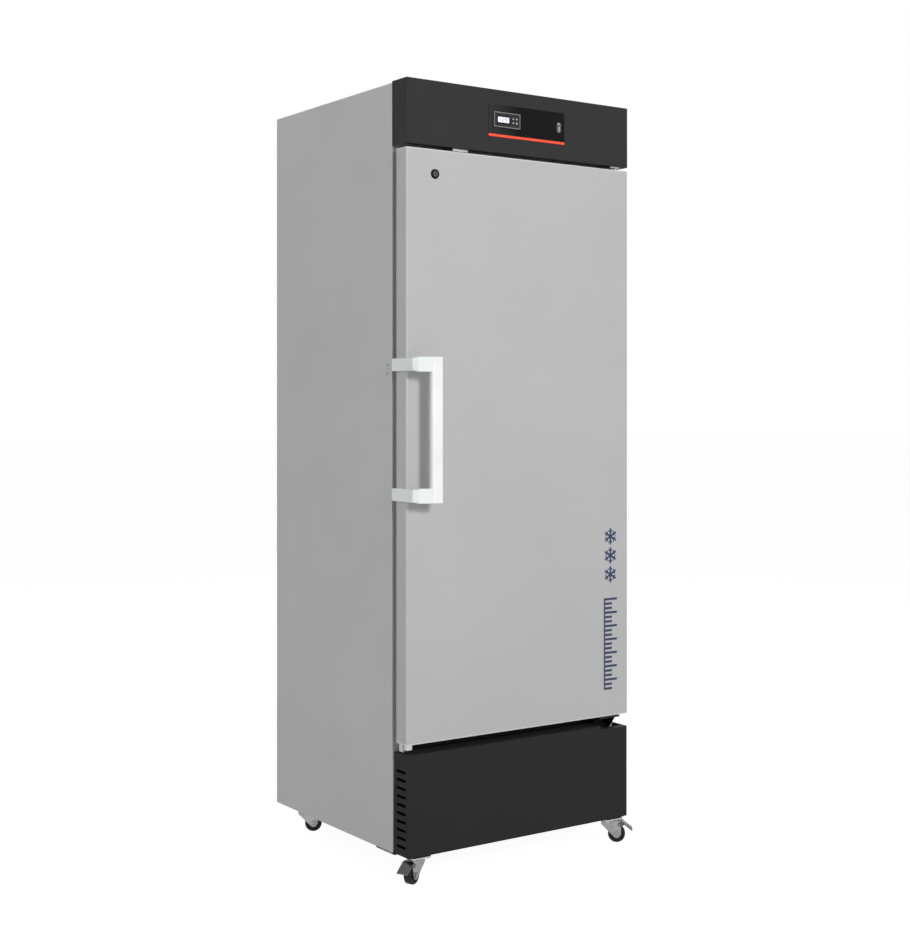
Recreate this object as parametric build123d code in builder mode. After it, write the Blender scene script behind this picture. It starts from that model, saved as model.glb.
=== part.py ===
"""Medical freezer: an upright cabinet on four casters, with one solid insulated door,
a header with a temperature controller, and the cooling machine under and inside it.

Millimetres. +Z is up, the floor is Z = 0, and the door faces -Y. The origin is on the floor,
under the centre of the whole object's outline, handle included.
"""

from build123d import *
from math import cos, pi, radians, sin, sqrt
import os

os.makedirs("parts", exist_ok=True)

# Overall sizes
cabinet_width = 650.0
cabinet_height = 1742.0
body_depth = 546.0
door_thickness = 42.0
gasket_gap = 18.0
handle_reach = 60.0
wheel_radius = 21.0
caster_clearance = 21.0

# Sheets and clearances
sheet = 1.2
door_sheet = 1.0
liner_wall = 1.5
face_gap = 0.3
foam_gap = 0.2
running_gap = 0.05
bore_gap = 0.3

# Header, door and kick panel heights
header_height = 146.0
header_rise = 2.5
header_gap = 9.0
kick_gap = 23.0
kick_height = 229.0
kick_inset = 3.0
kick_proud = 1.0

# Insulation and storage space
side_wall = 63.0
rear_wall = 70.0
door_rim = 27.0
gasket_width = 18.0
mouth_margin = 18.0
top_wall = 90.0
floor_wall = 68.0
liner_radius = 15.0

# Places that follow
half_width = cabinet_width / 2
y_rear = (door_thickness + gasket_gap + body_depth + handle_reach) / 2
y_body = y_rear - body_depth
y_door_back = y_body - gasket_gap
y_front = y_door_back - door_thickness
z_base = 2 * wheel_radius + caster_clearance
z_top = z_base + cabinet_height
z_shell_top = z_top - header_rise
z_header = z_top - header_height
z_door_top = z_header - header_gap
z_kick_top = z_base + kick_height
z_door_bottom = z_kick_top + kick_gap

# The storage space's mouth is framed by the gasket
gasket_outer_x = half_width - door_rim
gasket_inner_x = gasket_outer_x - gasket_width
z_gasket_low = z_door_bottom + door_rim
z_gasket_high = z_door_top - door_rim
cavity_half = half_width - side_wall
z_cavity_low = z_gasket_low + gasket_width + mouth_margin
z_cavity_high = z_gasket_high - gasket_width - mouth_margin
y_cavity_back = y_rear - rear_wall
cavity_width = 2 * cavity_half
cavity_height = z_cavity_high - z_cavity_low
z_cavity_mid = (z_cavity_low + z_cavity_high) / 2
z_deck = z_cavity_low - liner_wall - floor_wall
z_foam_top = z_cavity_high + liner_wall + top_wall

# Hinge line of the door
hinge_inset = 29.0
hinge_setback = 14.0
hinge_x = half_width - hinge_inset
hinge_y = y_front + hinge_setback
pin_radius = 4.0
pin_length = 14.0


def save(piece, name):
    """Writes one finished piece under its own name."""
    piece.label = name
    export_step(piece, f"parts/{name}.step")


def at_y(y):
    """A sketch plane seen from the front: X to the right, Z up. It extrudes towards the front."""
    return Plane.XZ.offset(-y)


def at_x(x):
    """A sketch plane seen from the right: Y to the right, Z up. It extrudes towards +X."""
    return Plane.YZ.offset(x)


def at_z(z):
    """A level sketch plane that extrudes upwards."""
    return Plane.XY.offset(z)


def block(low, high, mode=Mode.ADD):
    """A box given by two opposite corners, inside the current part."""
    size = [b - a for a, b in zip(low, high)]
    with Locations(tuple((a + b) / 2 for a, b in zip(low, high))):
        Box(*size, mode=mode)


def disc(centre, radius, length, axis, mode=Mode.ADD):
    """A cylinder given by the middle of its axis, which lies along X, Y or Z."""
    turn = {"X": (0, 90, 0), "Y": (90, 0, 0), "Z": (0, 0, 0)}[axis]
    with Locations(centre):
        Cylinder(radius, length, rotation=turn, mode=mode)


# Cabinet

screw_hole = 2.2
screw_shank = 1.9
screw_head = 4.6
screw_rows = 6
accessory_pitch = 19.0
accessory_hole = 2.25
accessory_depth = 14.0
accessory_y = 19.5
accessory_z = 1091.5
flange_width = half_width - gasket_inner_x + 1.0
rear_flange = 14.0
top_rail = 60.0
shell_radius = 3.0
z_accessory = z_base + accessory_z
rail_low = z_gasket_high - gasket_width - 1.0


def screw_places():
    """Where the screws of the rear panel and of the grille below it go, as (X, Z)."""
    screw_x = half_width - sheet - rear_flange / 2
    low, high = z_kick_top + 40.0, z_shell_top - 40.0
    rows = [low + number * (high - low) / (screw_rows - 1) for number in range(screw_rows)]
    rows += [z_base + 60.0, z_kick_top - 25.0]
    return [(side * screw_x, row) for side in (-1, 1) for row in rows]


def make_cabinet_shell():
    """One folded sheet for both sides and the top, with its front and rear flanges."""
    shell_height = z_shell_top - z_base
    with BuildPart() as shell:
        with BuildSketch(at_y(y_rear)):
            with Locations((0, z_base + shell_height / 2)):
                Rectangle(cabinet_width, shell_height)
        extrude(amount=body_depth)
        top_edges = shell.edges().filter_by(Axis.Y).group_by(Axis.Z)[-1]
        fillet(top_edges, shell_radius)
        block(
            (-half_width + sheet, y_body + sheet, z_base),
            (half_width - sheet, y_rear, z_shell_top - sheet),
            Mode.SUBTRACT,
        )
        block(
            (-half_width + flange_width, y_body, z_base),
            (half_width - flange_width, y_body + sheet, rail_low),
            Mode.SUBTRACT,
        )
        block(
            (-half_width + flange_width, y_body, rail_low + gasket_width + top_rail),
            (half_width - flange_width, y_body + sheet, z_shell_top - sheet),
            Mode.SUBTRACT,
        )
        flange_y = y_rear - 2 * sheet
        for side in (-1, 1):
            edge = side * (half_width - sheet)
            inner = side * (half_width - sheet - rear_flange)
            block(
                (min(edge, inner), flange_y, z_base),
                (max(edge, inner), flange_y + sheet, z_shell_top - sheet),
            )
        block(
            (-half_width + sheet + rear_flange, flange_y, z_shell_top - sheet - rear_flange),
            (half_width - sheet - rear_flange, flange_y + sheet, z_shell_top - sheet),
        )
        with BuildSketch(at_x(-half_width)):
            with Locations((y_body + accessory_y, z_accessory)):
                with GridLocations(0, accessory_pitch, 1, 2):
                    Circle(accessory_hole)
        extrude(amount=sheet, mode=Mode.SUBTRACT)
        with BuildSketch(at_y(y_rear - sheet)):
            with Locations(*screw_places()):
                Circle(screw_hole)
        extrude(amount=sheet, mode=Mode.SUBTRACT)
    save(shell.part, "cabinet_shell")


rib_count = 3
rib_width = 60.0
rib_depth = 0.9
panel_side_gap = 0.3


def make_rear_panel():
    """The flat back, stiffened by shallow pressed fields, lying on the shell's rear flange."""
    panel_half = half_width - sheet - panel_side_gap
    low, high = z_kick_top + 6.0, z_shell_top - sheet - panel_side_gap
    with BuildPart() as panel:
        block((-panel_half, y_rear - sheet, low), (panel_half, y_rear, high))
        with BuildSketch(at_y(y_rear)):
            with Locations((0, (low + high) / 2)):
                with GridLocations(2.6 * rib_width, 0, rib_count, 1):
                    RectangleRounded(rib_width, high - low - 2 * rib_width, rib_width / 3)
        extrude(amount=rib_depth, mode=Mode.SUBTRACT)
        with BuildSketch(at_y(y_rear)):
            with Locations(*[place for place in screw_places() if place[1] > low]):
                Circle(screw_hole)
        extrude(amount=sheet, mode=Mode.SUBTRACT)
    save(panel.part, "rear_panel")


def make_panel_screws():
    """The screws that hold the rear panel and the grille to the shell's rear flange."""
    with BuildPart() as screws:
        with BuildSketch(at_y(y_rear)):
            with Locations(*screw_places()):
                Circle(screw_shank)
        extrude(amount=2 * sheet)
        with BuildSketch(at_y(y_rear)):
            with Locations(*screw_places()):
                Circle(screw_head)
        extrude(amount=-2.4)
    save(screws.part, "panel_screws")


chase_x = half_width - 100.0
chase_half = 24.0
chase_depth = 26.0
line_tunnel = 14.0
z_tunnel = z_cavity_high - 70.0
y_foam_back = y_rear - 2 * sheet


def make_foam():
    """The foamed-in insulation: a thick-walled block round the liner, with a chase for the pipes."""
    foam_half = half_width - sheet
    with BuildPart() as foam:
        block((-foam_half, y_body + sheet, z_deck), (foam_half, y_foam_back, z_foam_top))
        with BuildSketch(at_y(y_cavity_back + liner_wall)):
            with Locations((0, z_cavity_mid)):
                RectangleRounded(
                    cavity_width + 2 * liner_wall,
                    cavity_height + 2 * liner_wall,
                    liner_radius + liner_wall,
                )
        extrude(amount=y_cavity_back + liner_wall - y_body, mode=Mode.SUBTRACT)
        block(
            (-half_width + flange_width - 1.0, y_body, z_deck),
            (half_width - flange_width + 1.0, y_body + breaker_depth + sheet, z_foam_top),
            Mode.SUBTRACT,
        )
        block(
            (chase_x - chase_half, y_foam_back - chase_depth, z_deck),
            (chase_x + chase_half, y_foam_back, z_tunnel + line_tunnel),
            Mode.SUBTRACT,
        )
        block(
            (chase_x - chase_half, y_cavity_back, z_tunnel - line_tunnel),
            (chase_x + chase_half, y_foam_back, z_tunnel + line_tunnel),
            Mode.SUBTRACT,
        )
        with BuildSketch(at_x(-foam_half)):
            with Locations((y_body + accessory_y, z_accessory)):
                with GridLocations(0, accessory_pitch, 1, 2):
                    Circle(accessory_hole)
        extrude(amount=accessory_depth, mode=Mode.SUBTRACT)
    save(foam.part, "foam_insulation")


breaker_depth = 3.0
breaker_lip = 12.0
breaker_wall = 1.5
suction_radius = 5.0
liquid_radius = 3.0
suction_x = chase_x - 9.0
liquid_x = chase_x + 10.0


def make_liner():
    """The inner tub of the storage space, open at the front, with two holes for the pipes."""
    depth = y_cavity_back - y_body - breaker_depth
    with BuildPart() as liner:
        with BuildSketch(at_y(y_cavity_back + liner_wall)):
            with Locations((0, z_cavity_mid)):
                RectangleRounded(
                    cavity_width + 2 * liner_wall,
                    cavity_height + 2 * liner_wall,
                    liner_radius + liner_wall,
                )
        extrude(amount=depth + liner_wall)
        with BuildSketch(at_y(y_cavity_back)):
            with Locations((0, z_cavity_mid)):
                RectangleRounded(cavity_width, cavity_height, liner_radius)
        extrude(amount=depth, mode=Mode.SUBTRACT)
        for x, radius in ((suction_x, suction_radius), (liquid_x, liquid_radius)):
            centre = (x, y_cavity_back + liner_wall / 2, z_tunnel)
            disc(centre, radius + bore_gap, 2 * liner_wall, "Y", Mode.SUBTRACT)
    save(liner.part, "inner_liner")


def make_breaker_frame():
    """The plastic frame round the mouth, which joins the outer sheet to the liner."""
    outer_x = half_width - flange_width
    outer_low = z_gasket_low + gasket_width + 1.0
    outer_high = rail_low
    with BuildPart() as frame:
        with BuildSketch(at_y(y_body + breaker_depth)):
            with Locations((0, (outer_low + outer_high) / 2)):
                Rectangle(2 * outer_x, outer_high - outer_low)
        extrude(amount=breaker_depth)
        with BuildSketch(at_y(y_body + breaker_lip)):
            with Locations((0, z_cavity_mid)):
                RectangleRounded(
                    cavity_width - 2 * foam_gap,
                    cavity_height - 2 * foam_gap,
                    liner_radius - foam_gap,
                )
        extrude(amount=breaker_lip)
        with BuildSketch(at_y(y_body + breaker_lip)):
            with Locations((0, z_cavity_mid)):
                RectangleRounded(
                    cavity_width - 2 * breaker_wall,
                    cavity_height - 2 * breaker_wall,
                    liner_radius - breaker_wall,
                )
        extrude(amount=breaker_lip, mode=Mode.SUBTRACT)
    save(frame.part, "breaker_frame")


# Base frame, which carries the machine and the casters

beam_drop = 3.0
beam_height = 20.0
beam_wall = 2.0
beam_depth = 124.0
beam_half = half_width - 9.0
sill_half = half_width - 0.5
front_beam_y = y_front + 5.0
tray_wall = 1.5
deck_wall = 2.0
post_size = 20.0
kick_arm_x = half_width - 125.0
z_beam = z_base - beam_drop
z_tray = z_beam + beam_height + tray_wall
y_rear_beam = y_rear - 4.0 - beam_depth


def make_base_frame():
    """Two U beams over the casters, the machine tray on them, four posts and the deck above."""
    tray_front = y_body + 2.0
    tray_back = y_rear - 4.0
    deck_front = y_body + sheet
    rail_high = z_gasket_low + gasket_width + 1.0
    with BuildPart() as frame:
        for low_y in (front_beam_y, y_rear_beam):
            block((-beam_half, low_y, z_beam), (beam_half, low_y + beam_depth, z_beam + beam_wall))
            for wall_y in (low_y, low_y + beam_depth - beam_wall):
                block(
                    (-beam_half, wall_y, z_beam + beam_wall),
                    (beam_half, wall_y + beam_wall, z_tray - tray_wall),
                )
        block(
            (-sill_half, y_body - 9.0, z_beam),
            (sill_half, front_beam_y + beam_depth, z_beam + beam_wall),
        )
        block((-beam_half, tray_front, z_tray - tray_wall), (beam_half, tray_back, z_tray))
        for x in (-beam_half, beam_half - post_size):
            for y in (tray_front, tray_back - post_size):
                block((x, y, z_tray), (x + post_size, y + post_size, z_deck - deck_wall))
        block(
            (-beam_half, deck_front, z_deck - deck_wall),
            (beam_half, tray_back, z_deck),
        )
        rail_half = half_width - flange_width
        block((-rail_half, y_body, z_kick_top), (rail_half, deck_front, rail_high))
        arm_z = z_kick_top - sheet
        for x in (-kick_arm_x, kick_arm_x):
            block((x - 10.0, y_front + 12.0, arm_z - 2.0), (x + 10.0, deck_front, arm_z))
            block((x - 10.0, y_body, arm_z - 2.0), (x + 10.0, deck_front, z_kick_top))
            block(
                (x - 10.0, y_front - kick_proud + sheet, z_beam + 5.0),
                (x + 10.0, front_beam_y, z_beam + beam_height - 1.0),
            )
        block(
            (chase_x - chase_half, y_foam_back - chase_depth, z_deck - deck_wall),
            (chase_x + chase_half, y_foam_back, z_deck),
            Mode.SUBTRACT,
        )
    save(frame.part, "base_frame")


# Header with its controller

overlay_left = -half_width + 225.0
overlay_width = 224.0
overlay_height = 75.0
overlay_rise = 37.0
overlay_thick = 1.0
header_radius = 3.0
bezel_width = 77.0
bezel_height = 36.0
bezel_proud = 3.0
bezel_margin = 13.0
controller_width = 71.0
controller_height = 29.0
controller_depth = 52.0
controller_wall = 1.6
port_width = 12.0
port_height = 24.0
port_right = 18.0

overlay_x = overlay_left + overlay_width / 2
overlay_z = z_header + overlay_rise + overlay_height / 2
controller_x = overlay_left + bezel_margin + bezel_width / 2
controller_z = overlay_z + 2.5
port_x = overlay_left + overlay_width - port_right
port_z = overlay_z + 1.5
y_overlay = y_front - overlay_thick
y_bezel = y_overlay - bezel_proud

bolt_width = 12.0
bolt_thick = 4.0
bolt_gap = 0.35
bolt_setback = 26.0
catch_gap = 5.0
lock_x = -half_width + 76.0
y_bolt = y_front + bolt_setback


def make_header_cover():
    """The black cover at the top: a folded box, open at its back and, behind a flange, below.
    The door's bolt rises behind that flange."""
    with BuildPart() as header:
        block((-half_width, y_front, z_header), (half_width, y_body, z_top))
        fillet(header.edges().filter_by(Axis.Z).group_by(Axis.Y)[0], header_radius)
        block(
            (-half_width + sheet, y_front + sheet, z_header + sheet),
            (half_width - sheet, y_body, z_top - sheet),
            Mode.SUBTRACT,
        )
        with BuildSketch(at_y(y_front)):
            with Locations((controller_x, controller_z)):
                Rectangle(controller_width + 2 * bore_gap, controller_height + 2 * bore_gap)
            with Locations((port_x, port_z)):
                Rectangle(port_width - 4.0 + 2 * bore_gap, port_height - 8.0 + 2 * bore_gap)
        extrude(amount=-sheet, mode=Mode.SUBTRACT)
        block(
            (-half_width + sheet, y_bolt - bolt_thick / 2 - catch_gap, z_header),
            (half_width - sheet, y_body, z_header + sheet),
            Mode.SUBTRACT,
        )
    save(header.part, "header_cover")


def make_control_overlay():
    """The smooth dark plate that frames the controller and the data port."""
    with BuildPart() as overlay:
        with BuildSketch(at_y(y_front)):
            with Locations((overlay_x, overlay_z)):
                RectangleRounded(overlay_width, overlay_height, 2.5)
            with Locations((controller_x, controller_z)):
                Rectangle(
                    controller_width + 2 * bore_gap, controller_height + 2 * bore_gap, mode=Mode.SUBTRACT
                )
            with Locations((port_x, port_z)):
                Rectangle(
                    port_width - 4.0 + 2 * bore_gap, port_height - 8.0 + 2 * bore_gap, mode=Mode.SUBTRACT
                )
        extrude(amount=overlay_thick)
    save(overlay.part, "control_overlay")


window_width = 34.0
window_height = 17.0
window_thick = 1.4
window_left = 11.0
key_width = 7.6
key_height = 6.4
key_pitch_x = 10.0
key_pitch_z = 9.5
key_right = 16.5
key_proud = 0.8
key_flange = 1.0
key_travel = 0.6
window_x = controller_x - bezel_width / 2 + window_left + window_width / 2
keys_x = controller_x + bezel_width / 2 - key_right
bezel_wall = 2.4


def make_controller_housing():
    """The panel-mounting controller: its bezel, its hollow body, the window seat and the key holes."""
    with BuildPart() as housing:
        with BuildSketch(at_y(y_overlay)):
            with Locations((controller_x, controller_z)):
                RectangleRounded(bezel_width, bezel_height, 3.0)
        extrude(amount=bezel_proud)
        fillet(housing.faces().sort_by(Axis.Y)[0].edges(), 0.8)
        with BuildSketch(at_y(y_overlay + controller_depth)):
            with Locations((controller_x, controller_z)):
                Rectangle(controller_width, controller_height)
        extrude(amount=controller_depth)
        inner_back = y_overlay + controller_depth - controller_wall
        with BuildSketch(at_y(inner_back)):
            with Locations((controller_x, controller_z)):
                Rectangle(controller_width - 2 * controller_wall, controller_height - 2 * controller_wall)
        extrude(amount=inner_back - y_bezel - bezel_wall, mode=Mode.SUBTRACT)
        with BuildSketch(at_y(y_bezel)):
            with Locations((window_x, controller_z)):
                Rectangle(window_width, window_height)
        extrude(amount=-window_thick, mode=Mode.SUBTRACT)
        with BuildSketch(at_y(y_bezel)):
            with Locations((keys_x, controller_z)):
                with GridLocations(key_pitch_x, key_pitch_z, 2, 2):
                    Rectangle(key_width + 2 * bore_gap, key_height + 2 * bore_gap)
        extrude(amount=-bezel_wall, mode=Mode.SUBTRACT)
    save(housing.part, "controller_housing")


def make_display_window():
    """The display's window, set flush in the bezel."""
    with BuildPart() as window:
        with BuildSketch(at_y(y_bezel + window_thick)):
            with Locations((window_x, controller_z)):
                Rectangle(window_width - foam_gap, window_height - foam_gap)
        extrude(amount=window_thick)
    save(window.part, "display_window")


def make_keys():
    """Four small keys beside the window, each held behind the bezel by its own flange."""
    names = ("key_down", "key_up", "key_set", "key_mute")
    with GridLocations(key_pitch_x, key_pitch_z, 2, 2) as grid:
        offsets = [place.position for place in grid.locations]
    flange_y = y_bezel + bezel_wall + bore_gap
    for name, offset in zip(names, offsets):
        centre = (keys_x + offset.X, controller_z + offset.Y)
        with BuildPart() as key:
            with BuildSketch(at_y(flange_y)):
                with Locations(centre):
                    Rectangle(key_width, key_height)
            extrude(amount=flange_y - y_bezel + key_proud)
            fillet(key.faces().sort_by(Axis.Y)[0].edges(), 0.5)
            with BuildSketch(at_y(flange_y + key_flange)):
                with Locations(centre):
                    Rectangle(key_width + 1.6, key_height + 1.6)
            extrude(amount=key_flange)
        save(key.part, name)


def make_data_port():
    """A small upright data port with a closed sleeve behind the plate."""
    with BuildPart() as port:
        with BuildSketch(at_y(y_overlay)):
            with Locations((port_x, port_z)):
                RectangleRounded(port_width, port_height, 3.0)
        extrude(amount=1.2)
        with BuildSketch(at_y(y_overlay + 20.0)):
            with Locations((port_x, port_z)):
                Rectangle(port_width - 4.0, port_height - 8.0)
        extrude(amount=20.0)
        with BuildSketch(at_y(y_overlay - 1.2)):
            with Locations((port_x, port_z - 3.5)):
                SlotOverall(12.0, 4.6, rotation=90)
            with Locations((port_x, port_z + 7.2)):
                Circle(2.4)
        extrude(amount=-0.8, mode=Mode.SUBTRACT)
    save(port.part, "data_port")


# Kick panel

louvre_count = 10
louvre_pitch = 18.7
louvre_length = 38.0
louvre_height = 6.4
louvre_front = 8.0
louvre_low = 20.5
return_top = 55.0
return_bottom = 59.0
kick_radius = 2.4
notch_depth = 8.0
notch_width = 84.0
notch_flange = 16.0
flange_slot_count = 7
flange_slot_pitch = 54.0
flange_slot_first = 123.0


def make_kick_panel():
    """The front cover of the machine space, with louvred returns and a flange on top."""
    kick_half = half_width - kick_inset
    y_kick = y_front - kick_proud
    notch_x = kick_half - notch_width
    z_notch = z_kick_top - notch_depth
    kick_back = y_front + return_bottom
    with BuildPart() as kick:
        block((-kick_half, y_kick, z_base), (kick_half, kick_back, z_kick_top))
        fillet(kick.edges().filter_by(Axis.Z).group_by(Axis.Y)[0], kick_radius)
        block(
            (-kick_half + sheet, y_kick + sheet, z_base),
            (kick_half - sheet, kick_back, z_kick_top - sheet),
            Mode.SUBTRACT,
        )
        with BuildSketch(at_x(-half_width)):
            with BuildLine():
                Polyline(
                    (kick_back, z_base),
                    (kick_back, z_kick_top),
                    (y_front + return_top, z_kick_top),
                    close=True,
                )
            make_face()
        extrude(amount=cabinet_width, mode=Mode.SUBTRACT)
        block((notch_x, y_kick, z_notch), (kick_half, y_body, z_kick_top), Mode.SUBTRACT)
        block(
            (notch_x, y_kick + sheet, z_notch - sheet),
            (kick_half - sheet, y_kick + notch_flange, z_notch),
        )
        with BuildSketch(at_z(z_kick_top)):
            for number in range(flange_slot_count):
                slot_x = -half_width + flange_slot_first + number * flange_slot_pitch
                with Locations((slot_x, y_front + 0.6 * return_top)):
                    SlotOverall(16.0, 5.0)
        extrude(amount=-sheet, mode=Mode.SUBTRACT)
        with BuildSketch(at_x(-half_width)):
            slot_y = y_front + louvre_front + louvre_length / 2
            for number in range(louvre_count):
                with Locations((slot_y, z_base + louvre_low + number * louvre_pitch)):
                    SlotOverall(louvre_length, louvre_height)
        extrude(amount=cabinet_width, mode=Mode.SUBTRACT)
    save(kick.part, "kick_panel")


# Rear cover of the machine space and the power inlet

grille_rows = 7
grille_columns = 3
grille_pitch = 22.0
gland_radius = 9.0
gland_bore = 4.2
gland_length = 24.0
gland_x = half_width - 75.0
gland_z = z_kick_top - 44.0


def make_rear_grille():
    """The slotted sheet that closes the machine space at the back."""
    panel_half = half_width - sheet - panel_side_gap
    low, high = z_tray + 1.0, z_kick_top + 5.0
    with BuildPart() as grille:
        block((-panel_half, y_rear - sheet, low), (panel_half, y_rear, high))
        with BuildSketch(at_y(y_rear)):
            with Locations((-30.0, (low + high) / 2)):
                with GridLocations(150.0, grille_pitch, grille_columns, grille_rows):
                    SlotOverall(120.0, 7.0)
        extrude(amount=sheet, mode=Mode.SUBTRACT)
        with BuildSketch(at_y(y_rear)):
            with Locations((gland_x, gland_z)):
                Circle(gland_radius - 2.0 + bore_gap)
            with Locations(*[place for place in screw_places() if place[1] < high]):
                Circle(screw_hole)
        extrude(amount=sheet, mode=Mode.SUBTRACT)
    save(grille.part, "rear_grille")


def make_power_inlet():
    """The cable gland where the mains lead enters: a domed nut outside and a locknut inside."""
    with BuildPart() as gland:
        with BuildSketch(at_y(y_rear)):
            with Locations((gland_x, gland_z)):
                RegularPolygon(gland_radius + 2.0, 6)
        extrude(amount=-6.0)
        disc((gland_x, y_rear + 9.0, gland_z), gland_radius - 0.5, 6.0, "Y")
        fillet(gland.faces().sort_by(Axis.Y)[-1].edges(), 2.5)
        neck = gland_length - 12.0
        disc((gland_x, y_rear - neck / 2, gland_z), gland_radius - 2.0, neck, "Y")
        nut_y = y_rear - sheet
        with BuildSketch(at_y(nut_y)):
            with Locations((gland_x, gland_z)):
                RegularPolygon(gland_radius + 2.0, 6)
        extrude(amount=4.0)
        middle = y_rear + 12.0 - gland_length / 2
        disc((gland_x, middle, gland_z), gland_bore, gland_length, "Y", Mode.SUBTRACT)
    save(gland.part, "power_inlet")


# Machine: compressor, condenser, its fan, pan and pipes

compressor_x = -half_width + 175.0
compressor_y = y_rear - 110.0
compressor_radius = 74.0
compressor_headroom = 35.0
mount_height = 14.0
foot_x = 92.0
foot_y = 52.0
bracket_wall = 3.0
z_compressor = z_tray + mount_height + bracket_wall
compressor_height = z_deck - deck_wall - z_compressor - compressor_headroom


def make_compressor():
    """A hermetic compressor: two welded domed shells on a foot plate, with its pipe stubs."""
    with BuildPart() as compressor:
        with BuildSketch(at_z(z_compressor - bracket_wall)):
            with Locations((compressor_x, compressor_y)):
                RectangleRounded(2 * foot_x + 26.0, 2 * foot_y + 26.0, 12.0)
                with GridLocations(2 * foot_x, 2 * foot_y, 2, 2):
                    Circle(5.5, mode=Mode.SUBTRACT)
        extrude(amount=bracket_wall)
        middle = (compressor_x, compressor_y, z_compressor)
        profile = Plane(origin=middle, x_dir=(1, 0, 0), z_dir=(0, -1, 0))
        height, radius, seam = compressor_height, compressor_radius, 0.55
        with BuildSketch(profile):
            with BuildLine():
                Polyline((0, height), (0, 0), (radius - 22.0, 0))
                ThreePointArc((radius - 22.0, 0), (radius - 5.0, 9.0), (radius, 26.0))
                Polyline(
                    (radius, 26.0),
                    (radius, seam * height - 4.0),
                    (radius + 3.0, seam * height - 4.0),
                    (radius + 3.0, seam * height + 4.0),
                    (radius - 2.0, seam * height + 4.0),
                    (radius - 2.0, height - 48.0),
                )
                ThreePointArc(
                    (radius - 2.0, height - 48.0), (0.72 * radius, height - 14.0), (16.0, height)
                )
                Line((16.0, height), (0, height))
            make_face()
        revolve(axis=Axis((compressor_x, compressor_y, 0), (0, 0, 1)))
        stub_z = z_compressor + 0.62 * compressor_height
        disc((compressor_x + radius + 8.0, compressor_y, stub_z), suction_radius, 30.0, "X")
        disc((compressor_x, compressor_y - radius - 8.0, stub_z), liquid_radius, 30.0, "Y")
        box_x = compressor_x - radius
        block(
            (box_x - 16.0, compressor_y - 28.0, z_compressor + 40.0),
            (box_x + 12.0, compressor_y + 28.0, z_compressor + 92.0),
        )
    save(compressor.part, "compressor")


def make_compressor_mounts():
    """Four rubber feet, each with its waist for the foot plate and its bolt."""
    with BuildPart() as mounts:
        with BuildSketch(at_z(z_tray)):
            with Locations((compressor_x, compressor_y)):
                with GridLocations(2 * foot_x, 2 * foot_y, 2, 2):
                    Circle(12.0)
        extrude(amount=mount_height)
        with BuildSketch(at_z(z_tray)):
            with Locations((compressor_x, compressor_y)):
                with GridLocations(2 * foot_x, 2 * foot_y, 2, 2):
                    Circle(5.0)
        extrude(amount=mount_height + bracket_wall + 3.0)
        with BuildSketch(at_z(z_tray + mount_height + bracket_wall)):
            with Locations((compressor_x, compressor_y)):
                with GridLocations(2 * foot_x, 2 * foot_y, 2, 2):
                    Circle(9.0)
        extrude(amount=5.0)
    save(mounts.part, "compressor_mounts")


fin_wall = 1.0
end_plate = 1.5
core_depth = 10.0
stub_length = 2.0


def make_coil(name, centre, size, fins, rows, tube_radius, ends_up):
    """A finned heat exchanger: fins on a core, end plates, tube stubs and return bends.
    ends_up is how far the end plates reach past the fins below and above."""
    x, y, z = centre
    width, depth, height = size
    pitch = height / rows
    with BuildPart() as coil:
        with BuildSketch(at_z(z - height / 2)):
            with Locations((x, y)):
                Rectangle(width, core_depth)
                with GridLocations((width - fin_wall) / (fins - 1), 0, fins, 1):
                    Rectangle(fin_wall, depth)
        extrude(amount=height)
        for side in (-1, 1):
            end_x = x + side * (width - end_plate) / 2
            block(
                (end_x - end_plate / 2, y - depth / 2, z - height / 2 - ends_up[0]),
                (end_x + end_plate / 2, y + depth / 2, z + height / 2 + ends_up[1]),
            )
        for row, side in ((0, 1), (rows - 1, 1 if rows % 2 == 0 else -1)):
            stub_x = x + side * (width + stub_length) / 2
            disc((stub_x, y, z - height / 2 + (row + 0.5) * pitch), tube_radius, stub_length, "X")
        for number in range(rows - 1):
            side = 1 if number % 2 else -1
            bend_z = z - height / 2 + (number + 1) * pitch
            bend_x = x + side * width / 2
            with BuildSketch(Plane(origin=(bend_x, y, bend_z + pitch / 2), z_dir=(side, 0, 0))) as end:
                Circle(tube_radius)
            turn = Axis((bend_x, y, bend_z), (0, side, 0))
            revolve(end.sketch, axis=turn, revolution_arc=180)
    save(coil.part, name)


condenser_width = 300.0
condenser_depth = 44.0
condenser_foot = 12.0
condenser_headroom = 38.0
condenser_height = z_deck - deck_wall - condenser_headroom - z_tray - condenser_foot
condenser_x = 60.0
condenser_y = y_body + 50.0
condenser_z = z_tray + condenser_foot + condenser_height / 2
condenser_fan_radius = 76.0
condenser_rows = 7
shroud_depth = 30.0
motor_radius = 26.0
motor_length = 44.0
shaft_radius = 3.0


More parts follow.
